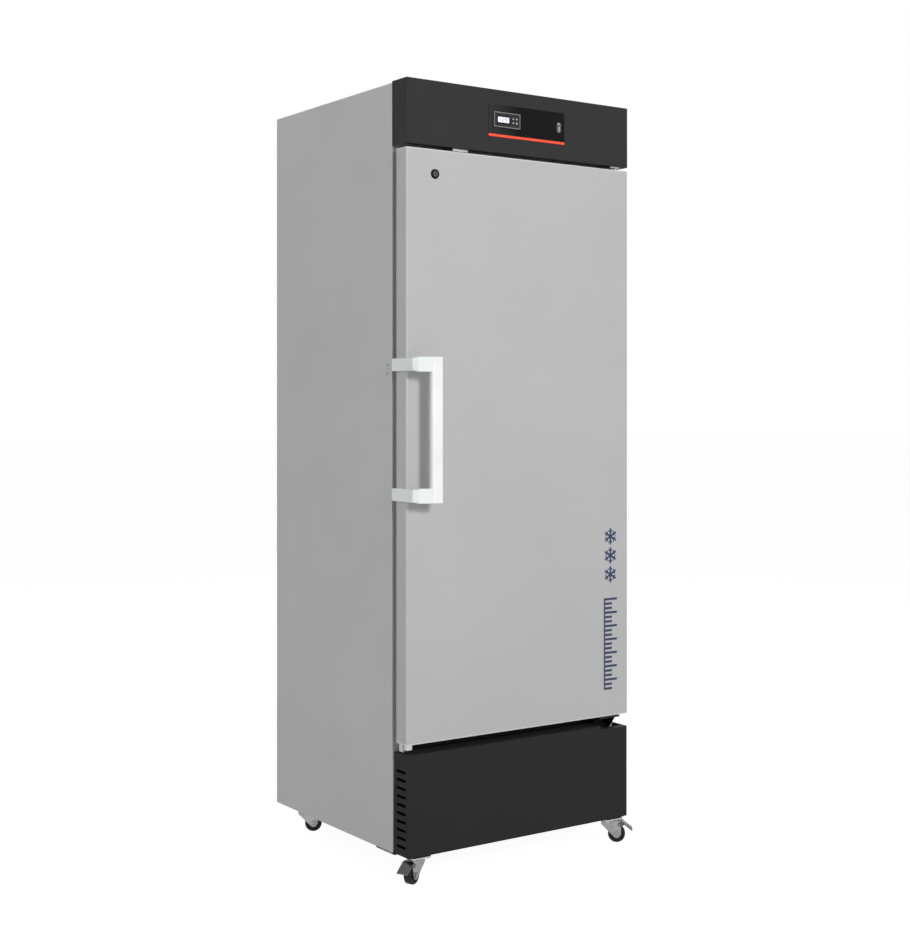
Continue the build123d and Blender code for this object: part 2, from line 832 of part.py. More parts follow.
def fan_parts(names, centre, radius, shroud, facing, legs):
    """A fan: the motor on its bracket and plate, and the bladed wheel on the shaft.
    facing is -1 when the wheel is on the motor's front side."""
    x, y, z = centre
    plate_name, blade_name = names
    hub_radius = 0.24 * radius
    hub_length = 16.0
    plate_wall = 1.5
    arm = 8.0
    plate_y = y + facing * shroud
    with BuildPart() as plate:
        with BuildSketch(at_y(max(plate_y, plate_y - facing * plate_wall))):
            with Locations((x, z)):
                RectangleRounded(2 * radius + 24.0, 2 * radius + 12.0, 6.0)
                Circle(radius + 3.0, mode=Mode.SUBTRACT)
        extrude(amount=plate_wall)
        arm_y = y - facing * 3.0
        low_y, high_y = sorted((arm_y, plate_y))
        reach = radius + 8.0
        for turn in (45, 135, 225, 315):
            leg_x = x + reach * cos(radians(turn))
            leg_z = z + reach * sin(radians(turn))
            block(
                (leg_x - arm / 2, low_y, leg_z - arm / 2),
                (leg_x + arm / 2, high_y, leg_z + arm / 2),
            )
            spoke = Plane(origin=(x, arm_y, z), x_dir=(cos(radians(turn)), 0, sin(radians(turn))),
                          z_dir=(0, -facing, 0))
            with BuildSketch(spoke):
                with Locations((reach / 2, 0)):
                    Rectangle(reach, arm - 2.0)
            extrude(amount=3.0)
        motor_mid = y - facing * (3.0 + motor_length / 2)
        disc((x, motor_mid, z), motor_radius, motor_length, "Y")
        shaft_mid = y + facing * (hub_length - 4.0) / 2
        disc((x, shaft_mid - facing * 2.0, z), shaft_radius, hub_length, "Y")
        for low, high in legs:
            block(low, high)
    save(plate.part, plate_name)
    blade_count = 5
    wheel_y = y + facing * (bore_gap + 1.5)
    with BuildPart() as wheel:
        far = wheel_y + facing * hub_length
        disc((x, (wheel_y + far) / 2, z), hub_radius, hub_length, "Y")
        fillet(wheel.faces().sort_by(Axis.Y)[0 if facing < 0 else -1].edges(), 3.0)
        for number in range(blade_count):
            turn = 360.0 * number / blade_count
            out = Vector(cos(radians(turn)), 0, sin(radians(turn)))
            side = Vector(-sin(radians(turn)), 0, cos(radians(turn)))
            middle = Vector(x, (wheel_y + far) / 2, z)
            for reach, pitch, chord in (
                (hub_radius - 2.0, 38.0, 0.9 * hub_length),
                (radius - 8.0, 66.0, 2.2 * hub_length),
            ):
                along = side * sin(radians(pitch)) + Vector(0, cos(radians(pitch)), 0)
                with BuildSketch(Plane(origin=middle + out * reach, x_dir=along, z_dir=out)):
                    Rectangle(chord, 1.6)
            loft()
        disc((x, (wheel_y + far) / 2 - facing * 4.0, z), shaft_radius + running_gap, hub_length, "Y",
             Mode.SUBTRACT)
    save(wheel.part, blade_name)


def make_condenser():
    """The condenser behind the kick panel, and its fan between it and the compressor."""
    make_coil(
        "condenser_coil",
        (condenser_x, condenser_y, condenser_z),
        (condenser_width, condenser_depth, condenser_height),
        20, condenser_rows, 4.0, (condenser_foot, 0.0),
    )
    fan_y = condenser_y + condenser_depth / 2 + 26.0
    plate_y = fan_y - 24.0
    foot_half = condenser_fan_radius + 12.0
    foot_low = (condenser_x - foot_half, plate_y, z_tray)
    foot_high = (condenser_x + foot_half, plate_y + 1.5, condenser_z - condenser_fan_radius - 4.0)
    fan_parts(
        ("condenser_fan_motor", "condenser_fan"),
        (condenser_x, fan_y, condenser_z),
        condenser_fan_radius, 24.0, -1,
        [(foot_low, foot_high)],
    )


def make_condensate_pan():
    """The shallow pan on the machine tray that catches and evaporates melt water."""
    low = (40.0, y_rear - 190.0, z_tray)
    high = (290.0, y_rear - 40.0, z_tray + 34.0)
    with BuildPart() as pan:
        block(low, high)
        fillet(pan.edges().filter_by(Axis.Z), 14.0)
        fillet(pan.faces().sort_by(Axis.Z)[0].edges(), 3.0)
        offset(amount=-2.0, openings=pan.faces().sort_by(Axis.Z)[-1])
    save(pan.part, "condensate_pan")


def run_tube(points, bend, radius):
    """Adds one bent tube to the current part: straight runs joined by arcs."""
    with BuildLine() as path:
        FilletPolyline(*points, radius=bend)
    first = Vector(*points[0])
    with BuildSketch(Plane(origin=first, z_dir=Vector(*points[1]) - first)) as section:
        Circle(radius)
    sweep(sections=section.sketch, path=path.line)


evaporator_width = cavity_width - 124.0
evaporator_depth = 62.0
evaporator_height = 112.0
evaporator_rows = 6
evaporator_x = -20.0
evaporator_hang = 12.0
evaporator_z = z_cavity_high - evaporator_hang - evaporator_height / 2
evaporator_y = y_cavity_back - 12.0 - evaporator_depth / 2
drier_radius = 11.0
drier_length = 90.0


def make_refrigerant_lines():
    """The copper pipes between compressor, condenser, drier and evaporator."""
    stub_z = z_compressor + 0.62 * compressor_height
    rise_y = y_foam_back - chase_depth / 2
    coil_end = evaporator_x + evaporator_width / 2 + 2.0
    pitch = evaporator_height / evaporator_rows
    top_tube = evaporator_z + (evaporator_height - pitch) / 2
    low_tube = evaporator_z - (evaporator_height - pitch) / 2
    hot_pitch = condenser_height / condenser_rows
    hot_end = condenser_width / 2 + 2.0
    hot_top = condenser_z + (condenser_height - hot_pitch) / 2
    hot_low = condenser_z - (condenser_height - hot_pitch) / 2
    side_run = condenser_x + hot_end + 46.0
    cross_z = z_tray + 66.0
    stub_end = compressor_radius + 23.0
    with BuildPart() as lines:
        run_tube(
            [
                (coil_end, evaporator_y, top_tube),
                (suction_x, evaporator_y, top_tube),
                (suction_x, evaporator_y, z_tunnel),
                (suction_x, rise_y, z_tunnel),
                (suction_x, rise_y, stub_z),
                (suction_x, compressor_y, stub_z),
                (compressor_x + stub_end, compressor_y, stub_z),
            ],
            10.0, suction_radius,
        )
        run_tube(
            [
                (coil_end, evaporator_y, low_tube),
                (liquid_x, evaporator_y, low_tube),
                (liquid_x, evaporator_y, z_tunnel),
                (liquid_x, rise_y, z_tunnel),
                (liquid_x, rise_y, cross_z),
                (side_run, rise_y, cross_z),
                (side_run, condenser_y + 200.0, cross_z),
                (side_run, condenser_y + 200.0, hot_low),
                (side_run, condenser_y, hot_low),
                (condenser_x + hot_end, condenser_y, hot_low),
            ],
            8.0, liquid_radius,
        )
        disc((side_run, condenser_y + 100.0, hot_low), drier_radius, drier_length, "Y")
        run_tube(
            [
                (compressor_x, compressor_y - stub_end, stub_z),
                (compressor_x, condenser_y, stub_z),
                (compressor_x, condenser_y, hot_top),
                (condenser_x - hot_end, condenser_y, hot_top),
            ],
            10.0, liquid_radius + 1.0,
        )
    save(lines.part, "refrigerant_lines")


# Air cooler in the storage space

cover_front = y_cavity_back - 172.0
cover_low = evaporator_z - evaporator_height / 2 - 22.0
cover_margin = 3.0
cover_wall = 1.2
cooler_fan_radius = 46.0
cooler_fan_x = evaporator_x
cooler_shroud = 20.0
fan_slot = 5.0


def make_evaporator():
    """The air cooler: its finned coil, its cover with the air grille, and its fan."""
    make_coil(
        "evaporator_coil",
        (evaporator_x, evaporator_y, evaporator_z),
        (evaporator_width, evaporator_depth, evaporator_height),
        24, evaporator_rows, 4.0, (0.0, evaporator_hang),
    )
    half = cavity_half - cover_margin
    with BuildPart() as cover:
        block((-half, cover_front, cover_low), (half, y_cavity_back, z_cavity_high))
        block(
            (-half + cover_wall, cover_front + cover_wall, cover_low + cover_wall),
            (half - cover_wall, y_cavity_back, z_cavity_high),
            Mode.SUBTRACT,
        )
        block(
            (-half - 1.0, y_body, z_cavity_high - liner_radius),
            (half + 1.0, y_cavity_back, z_cavity_high),
            Mode.SUBTRACT,
        )
        tab = half - liner_radius - 6.0
        for x in (-tab, 0.0, tab - 30.0):
            block(
                (x, cover_front, z_cavity_high - liner_radius - 2.0),
                (x + 30.0, cover_front + cover_wall, z_cavity_high),
            )
        with BuildSketch(at_y(cover_front)):
            step = 3 * fan_slot
            for number in range(-2, 3):
                rise = number * step
                reach = 2 * sqrt((cooler_fan_radius - 3.0) ** 2 - rise ** 2)
                with Locations((cooler_fan_x, evaporator_z + rise)):
                    SlotOverall(reach, 1.6 * fan_slot)
        extrude(amount=-cover_wall, mode=Mode.SUBTRACT)
        with BuildSketch(at_z(cover_low)):
            with Locations((evaporator_x, y_cavity_back - 34.0)):
                with GridLocations(60.0, 18.0, 7, 3):
                    SlotOverall(44.0, 6.0)
        extrude(amount=cover_wall, mode=Mode.SUBTRACT)
    save(cover.part, "evaporator_cover")
    fan_y = cover_front + cover_wall + cooler_shroud
    fan_parts(
        ("evaporator_fan_motor", "evaporator_fan"),
        (cooler_fan_x, fan_y, evaporator_z),
        cooler_fan_radius, cooler_shroud, -1, [],
    )


# Shelves and their supports

standard_width = 20.0
standard_depth = 8.0
standard_wall = 1.5
standard_pitch = 40.0
standard_low = z_cavity_low + 20.0
standard_end = 20.0
standard_count = int((cover_low - standard_low - standard_end) / standard_pitch)
clip_reach = 9.0
clip_height = 8.0
shelf_count = 4
shelf_gap = (cover_low - z_cavity_low) / (shelf_count + 1)
shelf_first = z_cavity_low + shelf_gap
wire = 3.0
rod = 6.0
wire_count = 21
shelf_front = y_body + 28.0
shelf_back = y_cavity_back - 22.0
standard_y = (shelf_front + 55.0, shelf_back - 75.0)
shelf_half = cavity_half - standard_depth - 2.0


def make_shelf_standards():
    """Four slotted channels on the side walls, and the clips that carry the shelves."""
    length = standard_count * standard_pitch + standard_end
    inner = cavity_half - standard_depth
    with BuildPart() as standards:
        for side in (-1, 1):
            wall_x = side * cavity_half
            face_x = side * inner
            low_x, high_x = min(wall_x, face_x), max(wall_x, face_x)
            for y in standard_y:
                block(
                    (low_x, y - standard_width / 2, standard_low),
                    (high_x, y + standard_width / 2, standard_low + length),
                )
                hollow = (face_x + side * standard_wall, wall_x)
                block(
                    (min(hollow), y - standard_width / 2 + standard_wall, standard_low),
                    (max(hollow), y + standard_width / 2 - standard_wall, standard_low + length),
                    Mode.SUBTRACT,
                )
                with BuildSketch(at_x(low_x)):
                    with Locations((y, standard_low + length / 2)):
                        with GridLocations(0, standard_pitch, 1, standard_count):
                            Rectangle(4.0, 14.0)
                extrude(amount=standard_depth, mode=Mode.SUBTRACT)
                for number in range(shelf_count):
                    top = shelf_first + number * shelf_gap
                    ends = (face_x, face_x - side * clip_reach)
                    block(
                        (min(ends), y - 6.0, top - clip_height),
                        (max(ends), y + 6.0, top),
                    )
    save(standards.part, "shelf_standards")


def make_shelves():
    """Four wire shelves: a rim of rods, one cross rod, and wires from front to back."""
    for number in range(shelf_count):
        low = shelf_first + number * shelf_gap
        with BuildPart() as shelf:
            for y in (shelf_front, (shelf_front + shelf_back) / 2, shelf_back - rod):
                block((-shelf_half, y, low), (shelf_half, y + rod, low + rod))
            for x in (-shelf_half, shelf_half - rod):
                block((x, shelf_front, low), (x + rod, shelf_back, low + rod))
            with Locations((0, (shelf_front + shelf_back) / 2, low + rod + wire / 2 - 0.5)):
                with GridLocations((2 * shelf_half - 4 * rod) / (wire_count - 1), 0, wire_count, 1):
                    Box(wire, shelf_back - shelf_front, wire)
        save(shelf.part, f"shelf_{number + 1}")


# Brackets in the gaps above and below the door

hinge_plate = 3.0
hinge_left = half_width - 85.0
hinge_right = half_width - 22.0
hinge_front = 5.0
boss_radius = 6.5
switch_left = -half_width + 131.0
switch_width = 41.0


def make_top_hinge():
    """The upper hinge bracket: its plate, its flange on the cabinet, and the pin."""
    left = half_width - 52.0
    with BuildPart() as bracket:
        block((left, y_front + hinge_front, z_header - hinge_plate), (hinge_right, y_body, z_header))
        block((left, y_body - hinge_plate, z_header - 20.0), (hinge_right, y_body, z_header))
        middle = (z_header - hinge_plate + z_door_top - pin_length) / 2
        length = z_header - hinge_plate - z_door_top + pin_length
        disc((hinge_x, hinge_y, middle), pin_radius, length, "Z")
    save(bracket.part, "top_hinge_bracket")


def make_bottom_hinge():
    """The lower hinge bracket, which carries the door on its boss: plate, flange, ribs and pin."""
    plate_top = z_door_bottom - 3.0
    plate_low = plate_top - 1.3 * hinge_plate
    flange_low = plate_low - 46.0
    with BuildPart() as bracket:
        block((hinge_left, y_front + hinge_front, plate_low), (hinge_right, y_body, plate_top))
        block((hinge_left, y_body - hinge_plate, flange_low), (hinge_right, y_body, plate_top))
        for x in (hinge_left, hinge_right - hinge_plate):
            with BuildSketch(at_x(x)):
                with BuildLine():
                    Polyline(
                        (y_body - hinge_plate, plate_low),
                        (y_body - hinge_plate, flange_low + 4.0),
                        (y_body - hinge_plate - 6.0, flange_low + 4.0),
                        (y_front + hinge_front + 14.0, plate_low),
                        close=True,
                    )
                make_face()
            extrude(amount=hinge_plate)
        top = z_door_bottom - face_gap
        disc((hinge_x, hinge_y, (plate_top + top) / 2), boss_radius, top - plate_top, "Z")
        pin_top = z_door_bottom + pin_length
        disc((hinge_x, hinge_y, (plate_top + pin_top) / 2), pin_radius, pin_top - plate_top, "Z")
    save(bracket.part, "bottom_hinge_bracket")


def make_switch_bracket():
    """The light bracket under the header that holds the door contact."""
    right = switch_left + switch_width
    with BuildPart() as bracket:
        block((switch_left, y_front + 8.0, z_header - 1.5), (right, y_body, z_header))
        block((switch_left, y_front + 8.0, z_header - 6.0), (right, y_front + 9.5, z_header))
        block(
            (switch_left + 9.0, y_front + 16.0, z_header - 6.5),
            (right - 9.0, y_front + 34.0, z_header - 1.5),
        )
    save(bracket.part, "door_switch_bracket")


# Door

cap_thick = 2.5
door_radius = 5.0
skin_flange = 11.0
liner_inset = 0.5
door_liner_wall = 2.0
dyke_margin = 12.0
dyke_width = 26.0
dyke_depth = 26.0
bush_radius = 6.5
bush_length = 12.0
barrel_radius = 9.0
lock_flange = 11.0
lock_proud = 2.5
plug_radius = 6.0
glide_x = -half_width + 0.6
glide_length = 16.0
glide_drop = 11.5
tab_drop = 17.0
crank_radius = 6.0 * sqrt(2)
crank_pin = 2.0
lock_drop = 55.4
lock_z = z_door_top - lock_drop


def make_door_skin():
    """The door's outer sheet: front, both sides, and the narrow flanges at its back."""
    low, high = z_door_bottom + cap_thick, z_door_top - cap_thick
    with BuildPart() as skin:
        block((-half_width, y_front, low), (half_width, y_door_back, high))
        fillet(skin.edges().filter_by(Axis.Z).group_by(Axis.Y)[0], door_radius)
        offset(
            amount=-door_sheet,
            openings=[
                skin.faces().sort_by(Axis.Z)[0],
                skin.faces().sort_by(Axis.Z)[-1],
                skin.faces().sort_by(Axis.Y)[-1],
            ],
        )
        for side in (-1, 1):
            ends = (side * (half_width - door_sheet), side * (half_width - door_sheet - skin_flange))
            block((min(ends), y_door_back - door_sheet, low), (max(ends), y_door_back, high))
        disc((lock_x, y_front, lock_z), barrel_radius + bore_gap, 4.0, "Y", Mode.SUBTRACT)
    save(skin.part, "door_skin")


def make_door_foam():
    """The door's foam, with pockets for the lock case, the bolt and the hinge bushes."""
    low, high = z_door_bottom + cap_thick, z_door_top - cap_thick
    edge = half_width - door_sheet - foam_gap
    front = y_front + door_sheet + foam_gap
    back = y_door_back - door_liner_wall - foam_gap
    with BuildPart() as foam:
        block((-edge, front, low), (edge, back, high))
        fillet(foam.edges().filter_by(Axis.Z).group_by(Axis.Y)[0], door_radius - door_sheet)
        block(
            (lock_x - 16.0, front, lock_z - 18.0),
            (lock_x + 22.0, y_front + case_back + 2 * case_wall, lock_z + 18.0),
            Mode.SUBTRACT,
        )
        block(
            (lock_x - 9.0, y_bolt - 5.0, lock_z),
            (lock_x + 9.0, y_bolt + 5.0, high),
            Mode.SUBTRACT,
        )
        pocket = bush_length + 4.0
        disc((hinge_x, hinge_y, low), bush_radius + foam_gap, 2 * pocket, "Z", Mode.SUBTRACT)
        disc((hinge_x, hinge_y, high), bush_radius + foam_gap, 2 * pocket, "Z", Mode.SUBTRACT)
    save(foam.part, "door_foam")


def make_door_liner():
    """The door's inner panel, with a raised hollow frame that enters the mouth of the cabinet."""
    low, high = z_door_bottom + cap_thick, z_door_top - cap_thick
    panel_half = half_width - door_sheet - skin_flange - liner_inset
    dyke_half = cavity_half - dyke_margin
    dyke_height = cavity_height - 2 * dyke_margin
    with BuildPart() as liner:
        block((-panel_half, y_door_back - door_liner_wall, low), (panel_half, y_door_back, high))
        with BuildSketch(at_y(y_door_back + dyke_depth)):
            with Locations((0, z_cavity_mid)):
                RectangleRounded(2 * dyke_half, dyke_height, 12.0)
                RectangleRounded(
                    2 * (dyke_half - dyke_width), dyke_height - 2 * dyke_width, 8.0,
                    mode=Mode.SUBTRACT,
                )
        extrude(amount=dyke_depth)
        wall = door_liner_wall
        with BuildSketch(at_y(y_door_back + dyke_depth - wall)):
            with Locations((0, z_cavity_mid)):
                RectangleRounded(2 * (dyke_half - wall), dyke_height - 2 * wall, 10.0)
                RectangleRounded(
                    2 * (dyke_half - dyke_width + wall), dyke_height - 2 * (dyke_width - wall), 10.0,
                    mode=Mode.SUBTRACT,
                )
        extrude(amount=dyke_depth, mode=Mode.SUBTRACT)
    save(liner.part, "door_liner")


def make_door_gasket():
    """The magnetic gasket: a foot on the door, a waist, and the sealing face."""
    middle = (z_gasket_low + z_gasket_high) / 2
    height = z_gasket_high - z_gasket_low
    layers = (
        (y_door_back + 5.0, 5.0, 0.0),
        (y_door_back + 12.0, 7.0, 4.0),
        (y_body - face_gap, gasket_gap - face_gap - 12.0, 1.0),
    )
    with BuildPart() as gasket:
        for back, depth, inset in layers:
            with BuildSketch(at_y(back)):
                with Locations((0, middle)):
                    Rectangle(2 * (gasket_outer_x - inset), height - 2 * inset)
                    Rectangle(
                        2 * (gasket_inner_x + inset), height - 2 * (gasket_width - inset),
                        mode=Mode.SUBTRACT,
                    )
            extrude(amount=depth)
    save(gasket.part, "door_gasket")


def make_end_caps():
    """The light caps that close the door above and below, with the hinge bushes, and the glide."""
    with BuildPart() as caps:
        for low, boss in ((z_door_bottom, 1), (z_door_top - cap_thick, -1)):
            block((-half_width, y_front, low), (half_width, y_door_back, low + cap_thick))
        fillet(caps.edges().filter_by(Axis.Z).group_by(Axis.Y)[0], door_radius)
        reach = cap_thick + bush_length
        for end, inward in ((z_door_bottom, 1), (z_door_top, -1)):
            middle = end + inward * reach / 2
            disc((hinge_x, hinge_y, middle), bush_radius, reach, "Z")
            disc((hinge_x, hinge_y, middle), pin_radius + running_gap, reach, "Z", Mode.SUBTRACT)
        block(
            (lock_x - bolt_width / 2 - bolt_gap, y_bolt - bolt_thick / 2 - bolt_gap, z_door_top - 9.0),
            (lock_x + bolt_width / 2 + bolt_gap, y_bolt + bolt_thick / 2 + bolt_gap, z_door_top),
            Mode.SUBTRACT,
        )
        block(
            (glide_x, y_front + 16.0, z_door_bottom - tab_drop),
            (glide_x + 2.5, y_front + 31.0, z_door_bottom),
        )
        block(
            (glide_x, y_front + 3.0, z_door_bottom - glide_drop),
            (glide_x + glide_length, y_front + 12.0, z_door_bottom),
        )
    save(caps.part, "door_end_caps")


def make_edge_cover():
    """The small dark cover on the door's hinge side, near the top."""
    with BuildPart() as cover:
        block(
            (half_width, y_front + 6.0, z_door_top - 64.0),
            (half_width + 1.8, y_door_back - 6.0, z_door_top - 10.0),
        )
        fillet(cover.faces().sort_by(Axis.X)[-1].edges(), 1.2)
    save(cover.part, "door_edge_cover")


# Handle

bar_left = -half_width + 31.0
bar_width = 28.0
bar_thick = 14.0
bar_length = 324.0
arm_pitch = 291.0
arm_height = 28.0
sleeve_height = 32.5
foot_thick = 9.0
foot_back = 5.0
foot_chamfer = 2.5
handle_rise = 703.5
handle_z = z_door_bottom + handle_rise


def make_handle_bar():
    """The upright grip."""
    y_bar = y_front - handle_reach
    with BuildPart() as bar:
        block(
            (bar_left, y_bar, handle_z - bar_length / 2),
            (bar_left + bar_width, y_bar + bar_thick, handle_z + bar_length / 2),
        )
        fillet(bar.edges().filter_by(Axis.Z), 4.5)
        fillet(bar.faces().sort_by(Axis.Z)[0].edges(), 1.5)
        fillet(bar.faces().sort_by(Axis.Z)[-1].edges(), 1.5)
    save(bar.part, "handle_bar")


def make_handle_brackets():
    """Both arms: a foot on the door's edge, a bend in front of the door, and a sleeve to the grip."""
    edge = -half_width
    with BuildPart() as arms:
        for z in (handle_z - arm_pitch / 2, handle_z + arm_pitch / 2):
            with BuildSketch(at_z(z - arm_height / 2)):
                with BuildLine():
                    Polyline(
                        (edge, y_door_back + foot_back),
                        (edge - foot_thick, y_door_back + foot_back),
                        (edge - foot_thick, y_front - 38.0),
                        (edge, y_front - 47.0),
                        (edge + 4.0, y_front - 48.0),
                        (edge + 4.0, y_front - 33.0),
                        (edge, y_front - 29.0),
                        close=True,
                    )
                make_face()
            extrude(amount=arm_height)
            with BuildSketch(at_z(z - sleeve_height / 2)):
                with BuildLine():
                    Polyline(
                        (edge + 1.0, y_front - 47.4),
                        (bar_left, y_front - 58.0),
                        (bar_left, y_front - 46.5),
                        (edge + 1.0, y_front - 33.0),
                        close=True,
                    )
                make_face()
            extrude(amount=sleeve_height)
        foot_edges = arms.edges().filter_by(Axis.X).group_by(Axis.Y)[-1]
        chamfer(foot_edges, foot_chamfer)
    save(arms.part, "handle_brackets")


# Lock

case_wall = 1.5
case_front = 18.0
case_back = bolt_setback + bolt_thick / 2 + 1.0
crank_thick = 2.0
crank_y = bolt_setback - bolt_thick / 2 - 1.0 - crank_thick


def lock_point(x, y, z):
    """A point given from the middle of the lock, on the door's front face."""
    return (lock_x + x, y_front + y, lock_z + z)


def make_lock_body():
    """The lock: its rim, its threaded barrel with the nut, and the guide case behind."""
    with BuildPart() as body:
        disc(lock_point(0, -lock_proud / 2, 0), lock_flange, lock_proud, "Y")
        fillet(body.faces().sort_by(Axis.Y)[0].edges(), 1.0)
        disc(lock_point(0, 8.5, 0), barrel_radius, 17.0, "Y")
        with BuildSketch(at_y(y_front + door_sheet + 5.0)):
            with Locations((lock_x, lock_z)):
                RegularPolygon(12.5, 6)
        extrude(amount=5.0)
        block(
            lock_point(-13.0, case_front - case_wall, -14.5),
            lock_point(18.5, case_back + case_wall, 14.5),
        )
        block(lock_point(-11.5, case_front, -13.0), lock_point(17.0, case_back, 13.0), Mode.SUBTRACT)
        disc(lock_point(0, 7.75, 0), plug_radius + running_gap, 20.6, "Y", Mode.SUBTRACT)
        gap_x = bolt_width / 2 + bolt_gap
        gap_y = bolt_thick / 2 + bolt_gap
        block(
            (lock_x - gap_x, y_bolt - gap_y, lock_z + 12.0),
            (lock_x + gap_x, y_bolt + gap_y, lock_z + 15.0),
            Mode.SUBTRACT,
        )
    save(body.part, "lock_body")


def make_lock_plug():
    """The turning plug with its key slot, and the crank and pin that lift the bolt."""
    pin_end = bolt_setback + bolt_thick / 2
    with BuildPart() as plug:
        disc(lock_point(0, (crank_y - 3.0) / 2, 0), plug_radius, crank_y + 3.0, "Y")
        disc(lock_point(0, crank_y + crank_thick / 2, 0), crank_radius + 2.5, crank_thick, "Y")
        start = crank_y + crank_thick
        place = crank_radius * cos(radians(45))
        disc(lock_point(place, (start + pin_end) / 2, -place), crank_pin, pin_end - start, "Y")
        block(lock_point(-0.8, -3.0, -3.6), lock_point(0.8, 1.0, 3.6), Mode.SUBTRACT)
        block(lock_point(-2.4, -3.0, -0.8), lock_point(2.4, 1.0, 0.8), Mode.SUBTRACT)
    save(plug.part, "lock_plug")


def make_lock_bolt():
    """The flat bolt with the cross slot that the crank pin runs in."""
    place = crank_radius * cos(radians(45))
    slot_half = crank_pin + bolt_gap
    head_low = lock_z - place - slot_half - 3.0
    head_high = lock_z - place + slot_half + 3.0
    y_low, y_high = y_bolt - bolt_thick / 2, y_bolt + bolt_thick / 2
    with BuildPart() as bolt:
        block((lock_x - 6.0, y_low, head_low), (lock_x + 14.0, y_high, head_high))
        block(
            (lock_x - bolt_width / 2, y_low, head_low),
            (lock_x + bolt_width / 2, y_high, z_door_top - 0.5),
        )
        block(
            (lock_x + place - slot_half, y_low, lock_z - place - slot_half),
            (lock_x + crank_radius + slot_half, y_high, lock_z - place + slot_half),
            Mode.SUBTRACT,
        )
        chamfer(bolt.faces().sort_by(Axis.Z)[-1].edges().filter_by(Axis.X), 1.0)
    save(bolt.part, "lock_bolt")


# Casters

caster_x = half_width - 42.0
caster_front_y = y_front + 24.0
caster_rear_y = y_rear - 73.0
plate_size = 50.0
plate_wall = 2.5
kingpin = 4.0
wheel_width = 18.0
wheel_offset = 20.0
axle_radius = 4.0
swivel_height = 6.5
fork_low = z_beam - plate_wall - swivel_height
fork_wall = 2.0
leg_inner = wheel_width / 2 + 1.5
fork_tip = -18.0
fork_tail = 31.0
skirt_drop = 5.5
pedal_pivot = (27.0, fork_low - 7.0)
pedal_pin = 2.0

casters = {
    "front_left": ((-caster_x, caster_front_y), (-0.915, -0.404)),
    "front_right": ((caster_x, caster_front_y), (0.759, -0.651)),
    "rear_left": ((-caster_x, caster_rear_y), (0.870, -0.493)),
    "rear_right": ((caster_x, caster_rear_y), (-0.342, -0.940)),
}


def caster_plane(name, lateral):
    """A plane beside one wheel: X along the fork, Y up from the floor, origin on the swivel axis."""
    place, way = casters[name]
    along = Vector(way[0], way[1], 0).normalized()
    across = along.cross(Vector(0, 0, 1))
    origin = Vector(place[0], place[1], 0) + across * lateral
    return Plane(origin=origin, x_dir=along, z_dir=across)


def make_caster_plates():
    """The four top plates with their fixed races, king pins and bolts."""
    with BuildPart() as plates:
        for place, way in casters.values():
            with BuildSketch(at_z(z_beam - plate_wall)):
                with Locations(place):
                    RectangleRounded(plate_size, plate_size, 4.0)
            extrude(amount=plate_wall)
            with BuildSketch(at_z(fork_low + 4.0)):
                with Locations(place):
                    Circle(16.0)
            extrude(amount=z_beam - plate_wall - fork_low - 4.0)
            with BuildSketch(at_z(fork_low - 3.3)):
                with Locations(place):
                    Circle(kingpin)
            extrude(amount=z_beam - plate_wall - fork_low + 3.3)
            with BuildSketch(at_z(fork_low - 3.3)):
                with Locations(place):
                    Circle(6.5)
            extrude(amount=3.0)
            with BuildSketch(at_z(z_beam - plate_wall - 3.0)):
                with Locations(place):
                    with GridLocations(plate_size - 12.0, plate_size - 12.0, 2, 2):
                        RegularPolygon(4.0, 6)
            extrude(amount=3.0)
    save(plates.part, "caster_plates")


def make_caster_fork(name, braked):
    """One swivelling fork: crown, race, side plates, leading skirt, and the axle."""
    place, way = casters[name]
    leg_outer = leg_inner + fork_wall
    width = 2 * leg_outer
    with BuildPart() as fork:
        crown = Plane(
            origin=(place[0], place[1], fork_low), x_dir=(way[0], way[1], 0), z_dir=(0, 0, 1)
        )
        with BuildSketch(crown):
            with Locations(((fork_tip + fork_tail) / 2, 0)):
                Rectangle(fork_tail - fork_tip, width)
            Circle(17.0)
        extrude(amount=2.5)
        with BuildSketch(crown.offset(2.5)):
            Circle(17.0)
        extrude(amount=1.2)
        for lateral in (-leg_outer, leg_inner):
            with BuildSketch(caster_plane(name, lateral)):
                with BuildLine():
                    Polyline(
                        (fork_tip, fork_low + 2.5),
                        (fork_tail, fork_low + 2.5),
                        (fork_tail, wheel_radius),
                        (wheel_offset + 4.0, wheel_radius - 9.0),
                        (wheel_offset - 6.0, wheel_radius - 7.0),
                        (fork_tip, fork_low - skirt_drop),
                        close=True,
                    )
                make_face()
                with Locations((wheel_offset, wheel_radius)):
                    Circle(9.5)
            extrude(amount=fork_wall)
        with BuildSketch(crown):
            with Locations((fork_tip + fork_wall / 2, 0)):
                Rectangle(fork_wall, width)
        extrude(amount=-skirt_drop)
        with BuildSketch(caster_plane(name, -leg_outer - 3.0)):
            with Locations((wheel_offset, wheel_radius)):
                RegularPolygon(6.5, 6)
        extrude(amount=3.0)
        with BuildSketch(caster_plane(name, leg_outer)):
            with Locations((wheel_offset, wheel_radius)):
                RegularPolygon(6.5, 6)
        extrude(amount=3.0)
        with BuildSketch(caster_plane(name, -leg_outer)):
            with Locations((wheel_offset, wheel_radius)):
                Circle(axle_radius)
        extrude(amount=width)
        if braked:
            for lateral in (-leg_outer - 2.2, leg_outer):
                with BuildSketch(caster_plane(name, lateral)):
                    with Locations(pedal_pivot):
                        Circle(pedal_pin)
                extrude(amount=2.2)
        with BuildSketch(crown.offset(-1.0)):
            Circle(kingpin + running_gap)
        extrude(amount=6.0, mode=Mode.SUBTRACT)
    save(fork.part, f"caster_fork_{name}")


